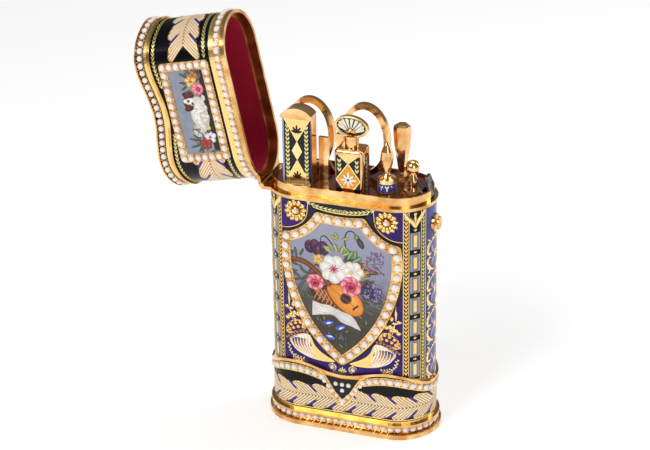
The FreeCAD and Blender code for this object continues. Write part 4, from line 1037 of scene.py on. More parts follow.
# ---- plinth plait and pendants -------------------------------------------------------
# A broad plait of cream straws edged with gold on black, with violet-blue slips showing
# in its gaps. The pendant is a black wedge framed in gold that hangs over the plait.
STRAW = tint(240, 212, 162)
STRAW_LIGHT = tint(255, 246, 222)
SLIP_BLUE = tint(58, 44, 150)
TAN_GOLD = (*srgb(206, 142, 62)[:3], 0.15)


def plait_unit(name, low, high, pitch):
    """One bundle that runs down to the middle and one that runs up to meet it."""
    bm = flat_sheet()
    middle = (low + high) / 2
    rise = (high - low) / 2
    step = pitch / 6
    reach = [0.84, 0.95, 1.0, 0.95, 0.84, 0.7]       # of each straw, beyond the middle
    buried = {"taper": False, "sunk": -0.12}         # square ends, foot inside the ground
    straw = {"crown": 0.05, "crown_colour": STRAW_LIGHT, **buried}
    for sign in (1, -1):
        def at(lane, t):
            return (step * lane - 1.12 * rise * t, middle + sign * rise * t)

        under = 0.02 * sign
        for k in range(6):
            line = [at(k, reach[k] * t / 5) for t in range(6)]
            add_stroke(bm, line, step * 0.36, 0.06 + under, TAN_GOLD, **buried)
            if k < 5:
                add_stroke(bm, line, step * 0.235, 0.085 + under, STRAW, **straw)
        add_stroke(bm, [at(5, 0.16 * t) for t in range(3)], step * 0.235, 0.085 + under, STRAW,
                   **straw)
        slip = [at(5, 0.4 + 0.12 * t) for t in range(5)]
        add_stroke(bm, slip, step * 0.3, 0.11 + under, SLIP_BLUE, **buried)
        scallop = through([at(k, reach[k] + 0.02) for k in range(5)], steps=3)
        add_stroke(bm, scallop, 0.13, 0.15 + under, GOLD_PAINT, **buried)
    bmesh.ops.recalc_face_normals(bm, faces=bm.faces)
    return sheet_to_object(bm, name)


PLAIT_PITCH = 4 * QUARTER / 20
PENDANT_SIDE = 6.8         # where the wavy rails start beside the pendant
plait = plait_unit("plinth_plait_unit", 6.4, 14.7, PLAIT_PITCH)
plait_path = [[(-2 * QUARTER + PLAIT_PITCH * 0.1 + PLAIT_PITCH * k, 0.0) for k in range(20)]]
braid = lay_row("plinth_plait", plait_path, plait, painted)
bm = flat_sheet()
around = [4 * QUARTER * (k / 96 - 0.5) for k in range(97)]
add_stroke(bm, [(s, 6.15) for s in around], 0.13, 0.07, PALE_GOLD, taper=False)
add_stroke(bm, [(s, 5.2) for s in around], 0.5, 0.05, GOLD_PAINT, taper=False)
for face in FACES:
    for sign in (-1, 1):
        wavy = [PENDANT_SIDE + (QUARTER - PENDANT_SIDE) * k / 24 for k in range(25)]
        add_stroke(bm, [(face + sign * t, plinth_row(t) - 1.25) for t in wavy], 0.13, 0.1,
                   GOLD_PAINT, taper=False)
        add_stroke(bm, [(face + sign * t, plinth_row(t)) for t in wavy], 1.2, 0.02, GOLD_PAINT,
                   taper=False)
        side = through([(face + sign * 8.6, plinth_edge(8.6) - 0.2),
                        (face + sign * 6.4, plinth_edge(7.2) - 1.2), (face + sign * 3.6, 12.6),
                        (face + sign * 0.3, 8.4)])
        add_stroke(bm, side, 0.16, 0.2, GOLD_PAINT, taper=False)
        inner = through([(face + sign * 6.2, plinth_edge(6.2) - 0.5),
                         (face + sign * 4.4, plinth_edge(3.4) - 2.6), (face + sign * 2.4, 13.2),
                         (face + sign * 0.2, 10.9)])
        add_stroke(bm, inner, 0.13, 0.2, GOLD_PAINT, taper=False)
    wedge = ([(face - 8.4, plinth_edge(8.4) - 0.1), (face, plinth_edge(0) - 0.1),
              (face + 8.4, plinth_edge(8.4) - 0.1), (face + 6.4, plinth_edge(7.2) - 1.6),
              (face + 3.6, 12.4), (face, 8.0), (face - 3.6, 12.4),
              (face - 6.4, plinth_edge(7.2) - 1.6)])
    add_shape(bm, wedge, 0.16, DEEP_GOLD)
    dark = ([(face - 5.6, plinth_edge(5.6) - 0.9), (face, plinth_edge(0) - 0.6),
             (face + 5.6, plinth_edge(5.6) - 0.9), (face + 2.3, 13.0), (face, 10.8),
             (face - 2.3, 13.0)])
    add_shape(bm, dark, 0.18, BLACK_ENAMEL)
work = join_meshes([braid, sheet_mesh(bm, "plinth_lines")], "plinth_work")
fit_on("plinth_plait", work, round_case, 0.4, "case")

# ---- end panels ----------------------------------------------------------------------
# Translucent blue over an engraved ground, with a chain of scrolled gold and lilac
# leaves down each end and a small half pearl between each two.
LILAC = tint(176, 160, 206)
SCROLL_TOP, SCROLL_PITCH = 60.4, 12.2
end_strokes = (            # scroll, leaf and spray of one quarter: points, half width, height
    (((0.4, 5.4), (2.6, 4.6), (4.4, 2.4), (3.9, 0.5), (2.6, 0.9)), 0.5, 0.05, GOLD_PAINT,
     {"crown": 0.1, "crown_colour": PALE_GOLD}),
    (((0.5, 0.6), (1.8, 1.6), (2.4, 3.4)), 0.55, 0.04, LILAC, {"crown": 0.05}),
    (((4.5, 5.7), (3.4, 4.9), (4.9, 3.2)), 0.3, 0.04, LAUREL_GREEN_GOLD, {}))
bm = flat_sheet()
drop_places = []
for end in (QUARTER, -QUARTER):
    for k in range(4):
        y = SCROLL_TOP - SCROLL_PITCH * k
        for sx in (-1, 1):
            for sy in (-1, 1):
                for points, half, top, colour, ridge in end_strokes:
                    line = through([(end + sx * u, y + sy * v) for u, v in points], steps=3)
                    add_stroke(bm, line, half, top, colour, **ridge)
        add_shape(bm, round_spot(end, y, 0.75, 1.5, count=12), 0.06, GOLD_PAINT,
                  core=PALE_GOLD, rise=0.15)
        drop_places.append((end, y + 6.1))
    drop_places.append((end, SCROLL_TOP - SCROLL_PITCH * 3.5))
for x, y in drop_places:
    add_shape(bm, round_spot(x, y, 1.15, count=12), 0.07, DEEP_GOLD, core=GOLD_PAINT, rise=0.05)
fit_sheet(bm, "end_scrolls", round_case, 0.0, "case")
flat = lay_row("end_pearls", [drop_places], row_pearl, pearl, Size=0.75, Random_Turn=3.1, Seed=6)
fit_on("end_pearls", flat, round_case, 0.08, "case")

# ---- painted shield ------------------------------------------------------------------
# A vitreous painting on a thin convex plate: garden flowers, a lute with a song sheet
# and three bindweed flowers on a mossy bank. Each petal is laid on in its own shades.
LEAF_DARK = tint(46, 52, 34)
LEAF_MID = tint(92, 104, 58)
LEAF_PALE = tint(196, 196, 118)


def shield_ground():
    """Lilac sky that darkens into a mossy bank, blended by height."""
    material, tree, shader = new_material("shield_ground", Roughness=0.3, Coat_Weight=0.35,
                                          Coat_Roughness=0.06, Specular_IOR_Level=0.35)
    where = object_place(tree)
    apart = node_in(tree, "ShaderNodeSeparateXYZ", {"Vector": where})
    cloud = noise(tree, where, 240, 6)
    push = node_in(tree, "ShaderNodeMath", {0: cloud, 1: 0.012, 2: apart.outputs["Z"]},
                   operation="MULTIPLY_ADD")
    level = node_in(tree, "ShaderNodeMapRange", {
        "Value": push.outputs["Value"], "From Min": 0.030, "From Max": 0.078})
    ramp = node_in(tree, "ShaderNodeValToRGB", {"Fac": level.outputs["Result"]})
    stops = [(0.0, (74, 62, 36)), (0.16, (46, 38, 22)), (0.32, (52, 46, 34)),
             (0.46, (84, 82, 84)), (0.64, (134, 136, 158)), (1.0, (150, 152, 172))]
    while len(ramp.color_ramp.elements) < len(stops):
        ramp.color_ramp.elements.new(0.5)
    for element, (place, colour) in zip(ramp.color_ramp.elements, stops):
        element.position = place
        element.color = srgb(*colour)
    plug(tree, shader, {"Base Color": ramp.outputs["Color"],
                        "Normal": bump(tree, cloud, 0.15, 0.0001)})
    return material


finish(shield_ground(), "front_plaque", "back_plaque")
bm = flat_sheet()
strokes_laid = [0]
FIRST_LEVEL, STROKE_STEP = 0.02, 0.0003


def level_of():
    """Each stroke lies a hair over all before it."""
    strokes_laid[0] += 1
    return FIRST_LEVEL + STROKE_STEP * strokes_laid[0]


def stroke(line, half, colour, **settings):
    add_stroke(bm, line, half, level_of(), colour, **settings)


def shape(outline, colour, **settings):
    add_shape(bm, outline, level_of(), colour, **settings)


def leaf(x, y, angle, length, half, colour, vein=None, bend=0.0):
    stroke(leaf_line(x, y, angle, length, bend), half, colour, crown=0.02 if vein else 0.0,
           crown_colour=vein)


def petal(x, y, across, up, turn, colour, core, shift=(0, 0)):
    shape(round_spot(x, y, across, up, turn=turn, count=12), colour, core=core,
          core_at=(x + shift[0], y + shift[1]))


def corolla(x, y, count, reach, across, up, colour, core, start=0.0, lean=0.0, outward=0.0):
    """A ring of petals, each with its light spot that far outward of its middle."""
    for k in range(count):
        a = 2 * math.pi * k / count + start
        c, s = math.cos(a), math.sin(a)
        petal(x + reach[0] * c, y + reach[1] * s, across, up, math.degrees(a) + lean, colour,
              core, shift=(outward * c, outward * s))


# mossy bank and the leaves behind the flowers
brush = random.Random(11)
chance = [brush.random() for i in range(400)]
for i in range(90):
    x = -9.5 + 19.0 * chance[i]
    y = 28.5 + 12.5 * chance[i + 90]
    if abs(x) < (y - 26.0) * 0.72:
        leaf(x, y, -60 + 120 * chance[i + 180], 1.0 + 1.3 * chance[i + 40], 0.16,
             (LEAF_DARK, LEAF_MID, tint(150, 142, 82), tint(96, 74, 44))[i % 4])
for i in range(70):
    x = -11.5 + 21.0 * chance[i + 100]
    y = 44.0 + 15.0 * chance[i + 20] - 0.25 * abs(x)
    leaf(x, y, -150 + 300 * chance[i + 60], 2.2 + 1.8 * chance[i + 240], 0.46,
         (tint(44, 50, 40), tint(58, 64, 48), tint(36, 36, 34),
          tint(76, 74, 50))[i % 4], vein=tint(96, 102, 76))
for x, y, angle, length in (
        (-15.2, 58.4, 40, 3.4), (-14.2, 58.0, 10, 3.4), (-13.2, 58.6, -25, 2.8),
        (-15.0, 59.4, 70, 2.2), (-13.6, 55.2, 70, 3.0), (-14.0, 53.4, 100, 2.8),
        (-13.2, 51.4, 60, 3.2), (-12.4, 51.2, 110, 3.2), (-11.6, 50.4, 140, 3.6),
        (-12.6, 49.4, 160, 3.4), (-10.8, 48.2, 170, 3.6), (-12.0, 53.2, 30, 2.8),
        (-10.4, 52.6, 60, 3.4), (-12.6, 46.8, 190, 2.6)):
    leaf(x, y, angle, length, 0.42, tint(52, 60, 58), vein=tint(98, 108, 92))
for i in range(22):
    a = -80 + 200 * chance[i + 5]
    leaf(9.2 + 1.6 * chance[i + 33], 44.6 + 2.4 * chance[i + 71], -a, 2.2 + 1.6 * chance[i],
         0.2, (LEAF_DARK, tint(70, 78, 66), tint(120, 126, 104))[i % 3])
leaf(6.4, 53.6, -55, 4.6, 0.95, tint(150, 112, 34), vein=tint(206, 168, 70), bend=0.8)
leaf(7.6, 55.2, -78, 4.6, 0.8, tint(70, 46, 22), vein=tint(140, 96, 40), bend=0.6)
leaf(6.4, 56.2, -30, 3.2, 0.6, tint(98, 100, 48), vein=LEAF_PALE)
for x, y, angle, length, wide in (
        (2.2, 59.6, -30, 3.4, 0.8), (3.6, 58.6, -55, 3.8, 0.9), (4.4, 60.2, -10, 2.6, 0.7),
        (3.0, 61.0, 30, 2.6, 0.6), (5.2, 58.4, -85, 2.8, 0.6)):
    leaf(x, y, angle, length, wide, tint(62, 92, 58), vein=tint(146, 182, 126))
for x, y, angle, length, wide in (
        (-3.2, 62.4, 80, 2.4, 0.6), (-1.2, 61.6, 20, 2.8, 0.8), (0.0, 61.2, -20, 2.8, 0.75),
        (-2.6, 61.0, 60, 3.0, 0.75), (0.6, 60.6, -60, 2.4, 0.6), (-0.4, 65.6, 70, 3.2, 0.55),
        (0.4, 65.8, -70, 2.2, 0.5), (-1.0, 66.2, 25, 1.9, 0.5), (0.9, 64.4, 200, 2.2, 0.4)):
    leaf(x, y, angle, length, wide, LEAF_MID, vein=LEAF_PALE)

# stems, the drooping poppy and its bud
stem_brown = tint(48, 34, 26)
stroke(through([(-6.4, 63.6), (-6.3, 65.6), (-5.2, 66.3), (-3.8, 65.2), (-2.2, 63.2),
                (-0.4, 61.6)]), 0.17, stem_brown)
stroke(through([(2.0, 59.8), (1.7, 63.0), (1.3, 66.0), (2.0, 68.4), (3.4, 69.1), (4.6, 68.4),
                (5.2, 67.4)]), 0.17, stem_brown)
for x, y, wide, tall, turn in (
        (-9.9, 62.0, 1.7, 2.1, 20), (-8.4, 62.9, 1.6, 1.9, 0), (-5.9, 62.3, 1.9, 2.2, -15),
        (-7.4, 61.2, 1.7, 1.9, 5), (-4.9, 61.2, 1.0, 1.6, -30), (-10.4, 63.4, 1.1, 0.8, 40)):
    petal(x, y, wide, tall, turn, tint(44, 20, 44), tint(122, 74, 112), shift=(0.3, 0.9))
for x, angle in ((-9.2, 12), (-7.9, 4), (-6.6, -6), (-5.6, -14)):
    leaf(x, 60.4, angle, 3.4, 0.14, tint(30, 12, 30))
petal(5.3, 67.0, 0.9, 1.3, 35, tint(70, 88, 52), tint(168, 186, 110))
petal(6.3, 65.4, 0.95, 1.9, 28, tint(44, 30, 44), tint(92, 96, 70))

# mauve sprays and the dark berries
for i in range(46):
    x = 8.0 + 5.6 * chance[i + 3]
    y = 56.0 + 7.0 * chance[i + 120]
    petal(x, y, 0.26, 0.36, 60 * chance[i], tint(112, 58, 100), tint(172, 110, 160))
for x0, y0, x1, y1 in ((8.2, 59.0, 12.8, 62.4), (8.8, 59.4, 10.6, 63.2), (9.0, 58.6, 13.6, 59.4),
                       (10.0, 59.2, 13.4, 56.0)):
    middle_point = ((x0 + x1) / 2, (y0 + y1) / 2 + 0.4)
    stroke(through([(x0, y0), middle_point, (x1, y1)]), 0.08, tint(92, 70, 96))
for i in range(110):
    a, r = 2 * math.pi * chance[i + 11], math.sqrt(chance[i + 170])
    x, y = 9.2 + 3.3 * r * math.cos(a) + 0.5, 49.6 + 3.0 * r * math.sin(a)
    dark, light = ((tint(42, 30, 70), tint(122, 112, 172)),
                   (tint(66, 44, 84), tint(206, 198, 226)),
                   (tint(26, 18, 40), tint(84, 60, 110)))[i % 3]
    petal(x, y, 0.46, 0.46, 0, dark, light, shift=(-0.12, 0.15))
for i in range(26):
    x, y = 11.0 + 3.0 * chance[i + 60], 45.6 + 7.0 * chance[i + 210]
    petal(x, y, 0.22, 0.3, 0, tint(86, 74, 120), tint(196, 190, 220))

# lute: neck, ribbed back, belly, rose hole, strings and bridge
neck = through([(-15.9, 57.3), (-12.6, 57.0), (-9.6, 55.6), (-6.2, 52.6), (-3.4, 49.8)])
stroke(neck, 0.85, tint(84, 40, 22), crown=0.02, crown_colour=tint(150, 84, 50), taper=False)
stroke([(x + 0.5, y + 0.55) for x, y in neck], 0.2, tint(206, 160, 104), taper=False)
back_shape = through([
    (-9.8, 49.0), (-6.4, 49.4), (-4.2, 49.6), (-3.6, 46.4), (-1.6, 43.4), (1.2, 41.2),
    (-2.6, 41.4), (-6.8, 43.2), (-9.4, 45.8)], closed=True, steps=3)
shape(back_shape, tint(74, 32, 24), core=tint(124, 62, 42))
for k in range(7):
    x = -9.2 + 1.25 * k
    stroke([(x, 48.8 - 0.2 * k), (x + 2.6, 45.2 - 0.5 * k)], 0.14, tint(214, 150, 96), taper=False)
    stroke([(x + 0.4, 44.8 - 0.55 * k), (x + 2.2, 48.2 - 0.35 * k)], 0.14, tint(214, 150, 96),
           taper=False)
belly = through([
    (-4.4, 49.6), (-2.4, 50.5), (0.8, 50.3), (4.0, 48.9), (6.2, 46.6), (7.1, 43.8), (6.6, 41.7),
    (4.6, 40.7), (2.0, 41.2), (-0.8, 43.0), (-3.0, 45.4), (-4.2, 47.6)], closed=True, steps=3)
shape([(x - 0.35, y - 0.35) for x, y in belly], tint(120, 58, 16))
shape(belly, tint(226, 132, 32), core=tint(250, 176, 84), core_at=(3.8, 46.2))
stroke(belly + belly[:1], 0.14, tint(176, 92, 26), taper=False)
shape(round_spot(1.5, 46.2, 1.95, 1.9, count=18), tint(150, 84, 36))
shape(round_spot(1.5, 46.2, 1.65, 1.62, count=18), tint(66, 48, 40), core=tint(28, 22, 22))
stroke([(-3.6, 49.4), (0.6, 46.4), (4.6, 43.6)], 0.1, tint(140, 98, 56), taper=False)
stroke([(3.7, 42.7), (4.7, 43.7), (5.5, 44.4)], 0.3, tint(58, 34, 20), taper=False)

# song sheet
page = [(-9.3, 43.9), (-6.6, 43.2), (-3.8, 43.2), (-1.8, 42.2), (-2.2, 39.9), (-4.8, 39.7),
        (-7.4, 39.2), (-9.5, 38.9)]
shape(page, tint(214, 206, 200), core=tint(250, 246, 240))
page = through([(-2.2, 42.4), (0.4, 41.5), (2.8, 40.9), (4.4, 39.4), (5.4, 37.6), (6.2, 35.9),
                (3.4, 36.9), (0.6, 37.6), (-1.2, 38.8), (-2.4, 40.0)], closed=True, steps=2)
shape(page, tint(206, 198, 194), core=tint(252, 248, 242))
for k in range(4):
    stroke(through([(-8.8, 42.8 - k), (-5.6, 42.2 - 0.9 * k), (-2.8, 41.6 - 0.6 * k)]), 0.06,
           tint(150, 140, 138))
    stroke(through([(-1.6, 41.4 - 0.6 * k), (1.4, 40.4 - 0.7 * k),
                    (4.2 + 0.2 * k, 38.4 - 0.5 * k)]), 0.06, tint(150, 140, 138))
stroke(through([(-9.6, 38.8), (-5.0, 39.6), (-2.4, 39.6), (0.6, 37.2), (6.3, 35.6)]), 0.22,
       tint(90, 74, 60))

# yellow and red small flowers
corolla(-7.3, 58.3, 5, (0.9, 0.9), 0.95, 0.75, tint(206, 146, 66), tint(246, 212, 132))
corolla(6.3, 58.0, 5, (0.6, 0.6), 0.65, 0.5, tint(136, 30, 36), tint(206, 82, 70))

# white hollyhocks
corolla(-2.2, 55.6, 7, (2.45, 2.6), 2.3, 2.0, tint(214, 208, 204), tint(255, 250, 242), 0.3,
        outward=0.5)
corolla(3.9, 55.7, 6, (1.8, 1.8), 1.75, 1.5, tint(216, 208, 200), tint(255, 248, 238),
        outward=0.4)
for k in range(9):
    leaf(-2.3, 55.6, 40 * k + 12, 1.7, 0.2, tint(214, 78, 118), vein=tint(176, 30, 82))
    if k < 6:
        leaf(3.3, 55.2, 60 * k, 1.0, 0.14, tint(226, 160, 150))
petal(-2.3, 55.6, 0.5, 0.5, 0, tint(236, 196, 120), tint(252, 232, 160))
petal(3.3, 55.2, 0.45, 0.45, 0, tint(222, 170, 100), tint(250, 226, 150))

# pink roses
for x, y, size in ((-8.3, 50.4, 2.9), (3.2, 50.6, 3.5)):
    corolla(x, y, 7, (0.55 * size, 0.55 * size), 0.55 * size, 0.42 * size, tint(204, 66, 96),
            tint(252, 186, 196), 0.4, 90, 0.3 * size)
    corolla(x - 0.1, y - 0.3, 5, (0.26 * size, 0.24 * size), 0.34 * size, 0.26 * size,
            tint(158, 20, 52), tint(232, 104, 128), lean=90)
    petal(x - 0.1, y - 0.45, 0.24 * size, 0.2 * size, 0, tint(112, 8, 34), tint(150, 24, 54))

# three bindweed flowers
for x, y, turn in ((-4.2, 37.1, 12), (-0.3, 36.0, 20), (-3.8, 32.2, -12)):
    for shift_x, wide, tall in ((-0.8, 1.0, 0.8), (0.1, 1.2, 0.9), (1.0, 0.8, 0.6)):
        c, s = math.cos(math.radians(turn)), math.sin(math.radians(turn))
        petal(x + shift_x * c, y + shift_x * s, wide, tall, turn, tint(40, 58, 158),
              tint(112, 142, 226))
    leaf(x + 0.9, y + 0.2, 100 + turn, 1.8, 0.3, tint(226, 232, 252))
leaf(0.6, 31.6, 20, 2.2, 0.4, tint(78, 92, 150))
picture = sheet_mesh(bm, "shield_picture")
fit_on("shield_pictures", both_faces(picture, "shield_pictures"), round_case, 0.25, "case")


# ---- lid ornament --------------------------------------------------------------------
# The lid repeats the plinth's plait on black beside each plaque, between laurels that
# follow the mouth and the wavy gold moulding near the top.
bm = flat_sheet()
rail_places = [4 * QUARTER * (k / 120 - 0.5) for k in range(121)]
add_stroke(bm, [(s, 3.3) for s in rail_places], 1.95, 0.02, GOLD_PAINT, taper=False)
add_stroke(bm, [(s, 5.15) for s in rail_places], 0.14, 0.06, PALE_GOLD, taper=False)
add_stroke(bm, [(s, lid_edge(s) - 2.1) for s in rail_places], 1.15, 0.02, GOLD_PAINT, taper=False)
add_stroke(bm, [(s, lid_edge(s) - 1.12) for s in rail_places], 0.12, 0.05, BLACK_ENAMEL,
           taper=False)
lid_lines = sheet_mesh(bm, "lid_lines")
PLAQUE_END = 16.3
low_runs, high_runs = [], []
for s0, s1 in ((PLAQUE_END, 2 * QUARTER - PLAQUE_END), (-2 * QUARTER + PLAQUE_END, -PLAQUE_END)):
    span = [s0 + (s1 - s0) * k / 40 for k in range(41)]
    low_runs.append([(s, 7.0) for s in span])
for s0, s1 in ((8.0, 2 * QUARTER - 8.0), (-2 * QUARTER + 8.0, -8.0)):
    span = [s0 + (s1 - s0) * k / 60 for k in range(61)]
    high_runs.append([(s, lid_edge(s) - 4.4) for s in span])
lid_laurels = lay_row("lid_laurels", low_runs + high_runs, pale_laurel, painted, Pitch=1.25,
                      Size=1.1)
lid_plait = plait_unit("lid_plait_unit", 8.5, 18.7, 6.38)
plait_places = [(sign * QUARTER + 6.38 * (k - 2.0) + 1.2, 0.0) for sign in (-1, 1)
                for k in range(6)]
lid_braid = lay_row("lid_braid", [plait_places], lid_plait, painted)
fit_on("lid_ornament", join_meshes([lid_lines, lid_laurels, lid_braid], "lid_ornament"),
       round_lid, 0.0, "lid")


def lid_top(x, y, lift):
    """Place on the wavy top of the lid."""
    return lid_open @ (Vector((x, y, MOUTH_Z + lid_edge(run_at(x)) + 1.5 + lift)) * MM)


def stadium_line(inset, count=80):
    """Closed line inside the outline of the case."""
    places = [round_case(4 * QUARTER * k / count - 2 * QUARTER, 0, -inset) / MM
              for k in range(count + 1)]
    return [(p.x, p.y) for p in places]


bm = flat_sheet()
for inset, half in ((1.5, 0.14), (4.1, 0.14)):
    add_stroke(bm, stadium_line(inset), half, 0.06, GOLD_PAINT, taper=False)
for k in range(16):
    a = 2 * math.pi * k / 16
    petal_line = [(r * 1.7 * math.cos(a), r * math.sin(a)) for r in (1.4, 2.9, 4.4)]
    add_stroke(bm, petal_line, 0.75, 0.07, GOLD_PAINT, crown=0.12, crown_colour=PALE_GOLD)
for sign in (-1, 1):
    for k in range(3):
        x = sign * (11.2 + 2.6 * k)
        for side in (-1, 1):
            add_stroke(bm, through([(x, 0), (x + sign * 1.4, side * 1.0),
                                    (x + sign * 3.0, side * (2.4 - 0.5 * k))]), 0.5, 0.06,
                       GOLD_PAINT, crown=0.1, crown_colour=PALE_GOLD)
    add_stroke(bm, [(sign * 9.0, 0), (sign * 14.0, 0), (sign * 20.0, 0)], 0.3, 0.06, GOLD_PAINT)
add_shape(bm, round_spot(0, 0, 2.1, 1.5), 0.09, DEEP_GOLD)
top_laurel = lay_row("top_laurel", [stadium_line(2.8)], pale_laurel, painted, Pitch=1.25, Size=1.1)
fit_on("lid_top_ornament", join_meshes([sheet_mesh(bm, "top_work"), top_laurel],
                                       "lid_top_ornament"), lid_top, 0.0, "lid")
top_pearl = lay_row("lid_top_pearl", [[(0, 0), (6.2, 0), (-6.2, 0)]], row_pearl, pearl,
                    Size=1.0, Seed=8, Random_Turn=3.1)
fit_on("lid_top_pearls", top_pearl, lid_top, 0.05, "lid")

# ---- painted plaques of the lid ------------------------------------------------------
# A white and chestnut spaniel at rest among flowers, on a slate-blue ground.
finish(enamel("plaque_ground", srgb(148, 156, 170), srgb(108, 118, 134), 420, 0.3, 0.35,
              0.35, 0.06), "lid_plaques")
strokes_laid[0] = 0
bm = flat_sheet()
FUR_WHITE = tint(214, 208, 200)
FUR_LIGHT = tint(252, 248, 240)
CHESTNUT = tint(58, 18, 18)
CHESTNUT_LIGHT = tint(120, 52, 44)
shape([(-12.9, 8.7), (12.9, 8.7), (12.9, 10.2), (-12.9, 10.6)], tint(44, 30, 20))
for i in range(60):
    x = -12.4 + 24.8 * chance[i + 31]
    if abs(x) > 5.2:
        leaf(x, 9.6 + 4.6 * chance[i + 77], -70 + 140 * chance[i + 150], 1.8 + 1.4 * chance[i],
             0.34, (tint(44, 50, 40), tint(66, 72, 54), tint(40, 44, 40), tint(84, 84, 60))[i % 4],
             vein=tint(112, 118, 92))
for x, y, angle, length in ((-10.6, 14.6, 10, 3.6), (-9.4, 14.4, -15, 3.8), (-11.2, 14.2, 45, 2.4),
                            (-9.0, 14.4, -40, 2.8), (-11.0, 12.6, 75, 1.8), (-8.8, 12.6, -60, 2.2),
                            (8.4, 14.2, 30, 2.8), (9.2, 14.6, -5, 2.4), (10.6, 13.6, -30, 3.2),
                            (11.4, 12.6, -60, 2.2), (11.2, 10.4, -80, 2.2), (9.6, 10.6, -120, 2.8),
                            (10.4, 10.0, -100, 2.4), (7.0, 14.0, 40, 2.0), (6.6, 13.0, 60, 1.6)):
    leaf(x, y, angle, length, 0.36, tint(48, 52, 48), vein=tint(96, 104, 96))
petal(-6.4, 14.2, 1.9, 1.9, 20, tint(176, 170, 168), FUR_LIGHT, shift=(0.2, 0.5))
petal(-4.9, 14.6, 1.2, 1.7, 10, tint(150, 136, 120), tint(216, 208, 196))
body = through([
    (-6.6, 12.6), (-4.6, 14.4), (-2.4, 15.4), (0.6, 15.4), (3.4, 14.8), (4.6, 13.0), (4.4, 11.2),
    (2.4, 10.3), (-1.0, 10.0), (-3.8, 10.3), (-5.6, 11.0)], closed=True, steps=3)
shape(body, FUR_WHITE, core=FUR_LIGHT, core_at=(-0.6, 13.6))
petal(-2.2, 11.4, 2.1, 1.5, 10, tint(196, 186, 176), tint(248, 242, 234))
for x in (-1.9, 1.0, 4.1):
    petal(x, 10.3, 1.0, 0.62, 0, tint(190, 180, 170), FUR_LIGHT, shift=(0.1, 0.2))
for i in range(26):
    x, y = -4.6 + 8.6 * chance[i + 17], 11.0 + 3.6 * chance[i + 47]
    leaf(x, y, 150 + 60 * chance[i + 9], 1.1, 0.09, tint(178, 168, 158))
petal(3.1, 15.3, 2.15, 1.9, 0, CHESTNUT, CHESTNUT_LIGHT, shift=(-0.4, 0.8))
petal(3.2, 14.7, 1.5, 1.35, 0, FUR_WHITE, FUR_LIGHT)
petal(3.5, 16.2, 0.75, 0.9, 0, FUR_WHITE, FUR_LIGHT)
petal(1.2, 15.6, 0.95, 1.6, 12, CHESTNUT, CHESTNUT_LIGHT, shift=(0.2, 0.6))
petal(5.4, 15.0, 1.0, 2.0, -8, CHESTNUT, CHESTNUT_LIGHT, shift=(-0.1, 0.8))
petal(3.5, 15.4, 0.46, 0.46, 0, tint(22, 14, 12), tint(60, 44, 36))
petal(2.2, 15.3, 0.3, 0.34, 0, tint(22, 14, 12), tint(60, 44, 36))
petal(3.62, 15.55, 0.13, 0.13, 0, FUR_LIGHT, FUR_LIGHT)
petal(2.6, 14.2, 0.5, 0.34, 0, tint(30, 18, 18), tint(84, 58, 52))
for k in range(5):
    a = 2 * math.pi * k / 5
    for x, y, reach, wide, tall, colour, core in (
            (-10.2, 12.8, 1.05, 1.1, 0.85, (120, 28, 20), (206, 84, 58)),
            (-8.4, 11.0, 1.0, 1.1, 0.85, (196, 190, 204), (254, 252, 250)),
            (9.6, 13.2, 1.0, 1.1, 0.85, (196, 142, 60), (250, 224, 140)),
            (11.2, 11.9, 0.8, 0.9, 0.7, (138, 72, 36), (226, 156, 90))):
        petal(x + reach * math.cos(a), y + reach * math.sin(a), wide, tall, math.degrees(a),
              tint(*colour), tint(*core))
petal(-8.5, 11.1, 0.42, 0.42, 0, tint(90, 60, 110), tint(140, 110, 160))
petal(9.5, 13.0, 0.35, 0.35, 0, tint(110, 60, 24), tint(160, 96, 40))
corolla(7.1, 11.5, 7, (1.1, 1.1), 1.2, 0.95, tint(206, 80, 100), tint(252, 196, 196), lean=90)
petal(6.9, 11.1, 0.85, 0.7, 0, tint(150, 20, 46), tint(216, 80, 100))
petal(-6.6, 11.2, 0.6, 0.6, 0, tint(30, 54, 62), tint(70, 104, 110))
petal(-5.5, 10.9, 0.7, 0.8, 0, tint(186, 160, 70), tint(240, 226, 150))
picture = sheet_mesh(bm, "plaque_picture")
fit_on("lid_pictures", both_faces(picture, "lid_pictures"), round_lid, 0.25, "lid")

# ---- needle case ---------------------------------------------------------------------
# A flat gold case with a hinged cap. Its faces are black enamel with gold lozenges and
# laurel sprays, edged with lilac on one side and dark blue on the other.
def flat_face(y, facing=-1, centre_x=0.0):
    """Surface on a flat face of an implement that looks along Y."""
    return lambda u, v, lift: Vector((centre_x - facing * (u - centre_x),
                                      y + facing * lift, v)) * MM


def spray(bm, x, y, angle, size, colour):
    """A sprig of five leaves."""
    for k in range(-2, 3):
        leaf_at = leaf_line(x, y, angle + 34 * k, size * (1.0 - 0.14 * abs(k)))
        add_stroke(bm, leaf_at, 0.2 * size ** 0.5, 0.1 + 0.01 * k, colour)


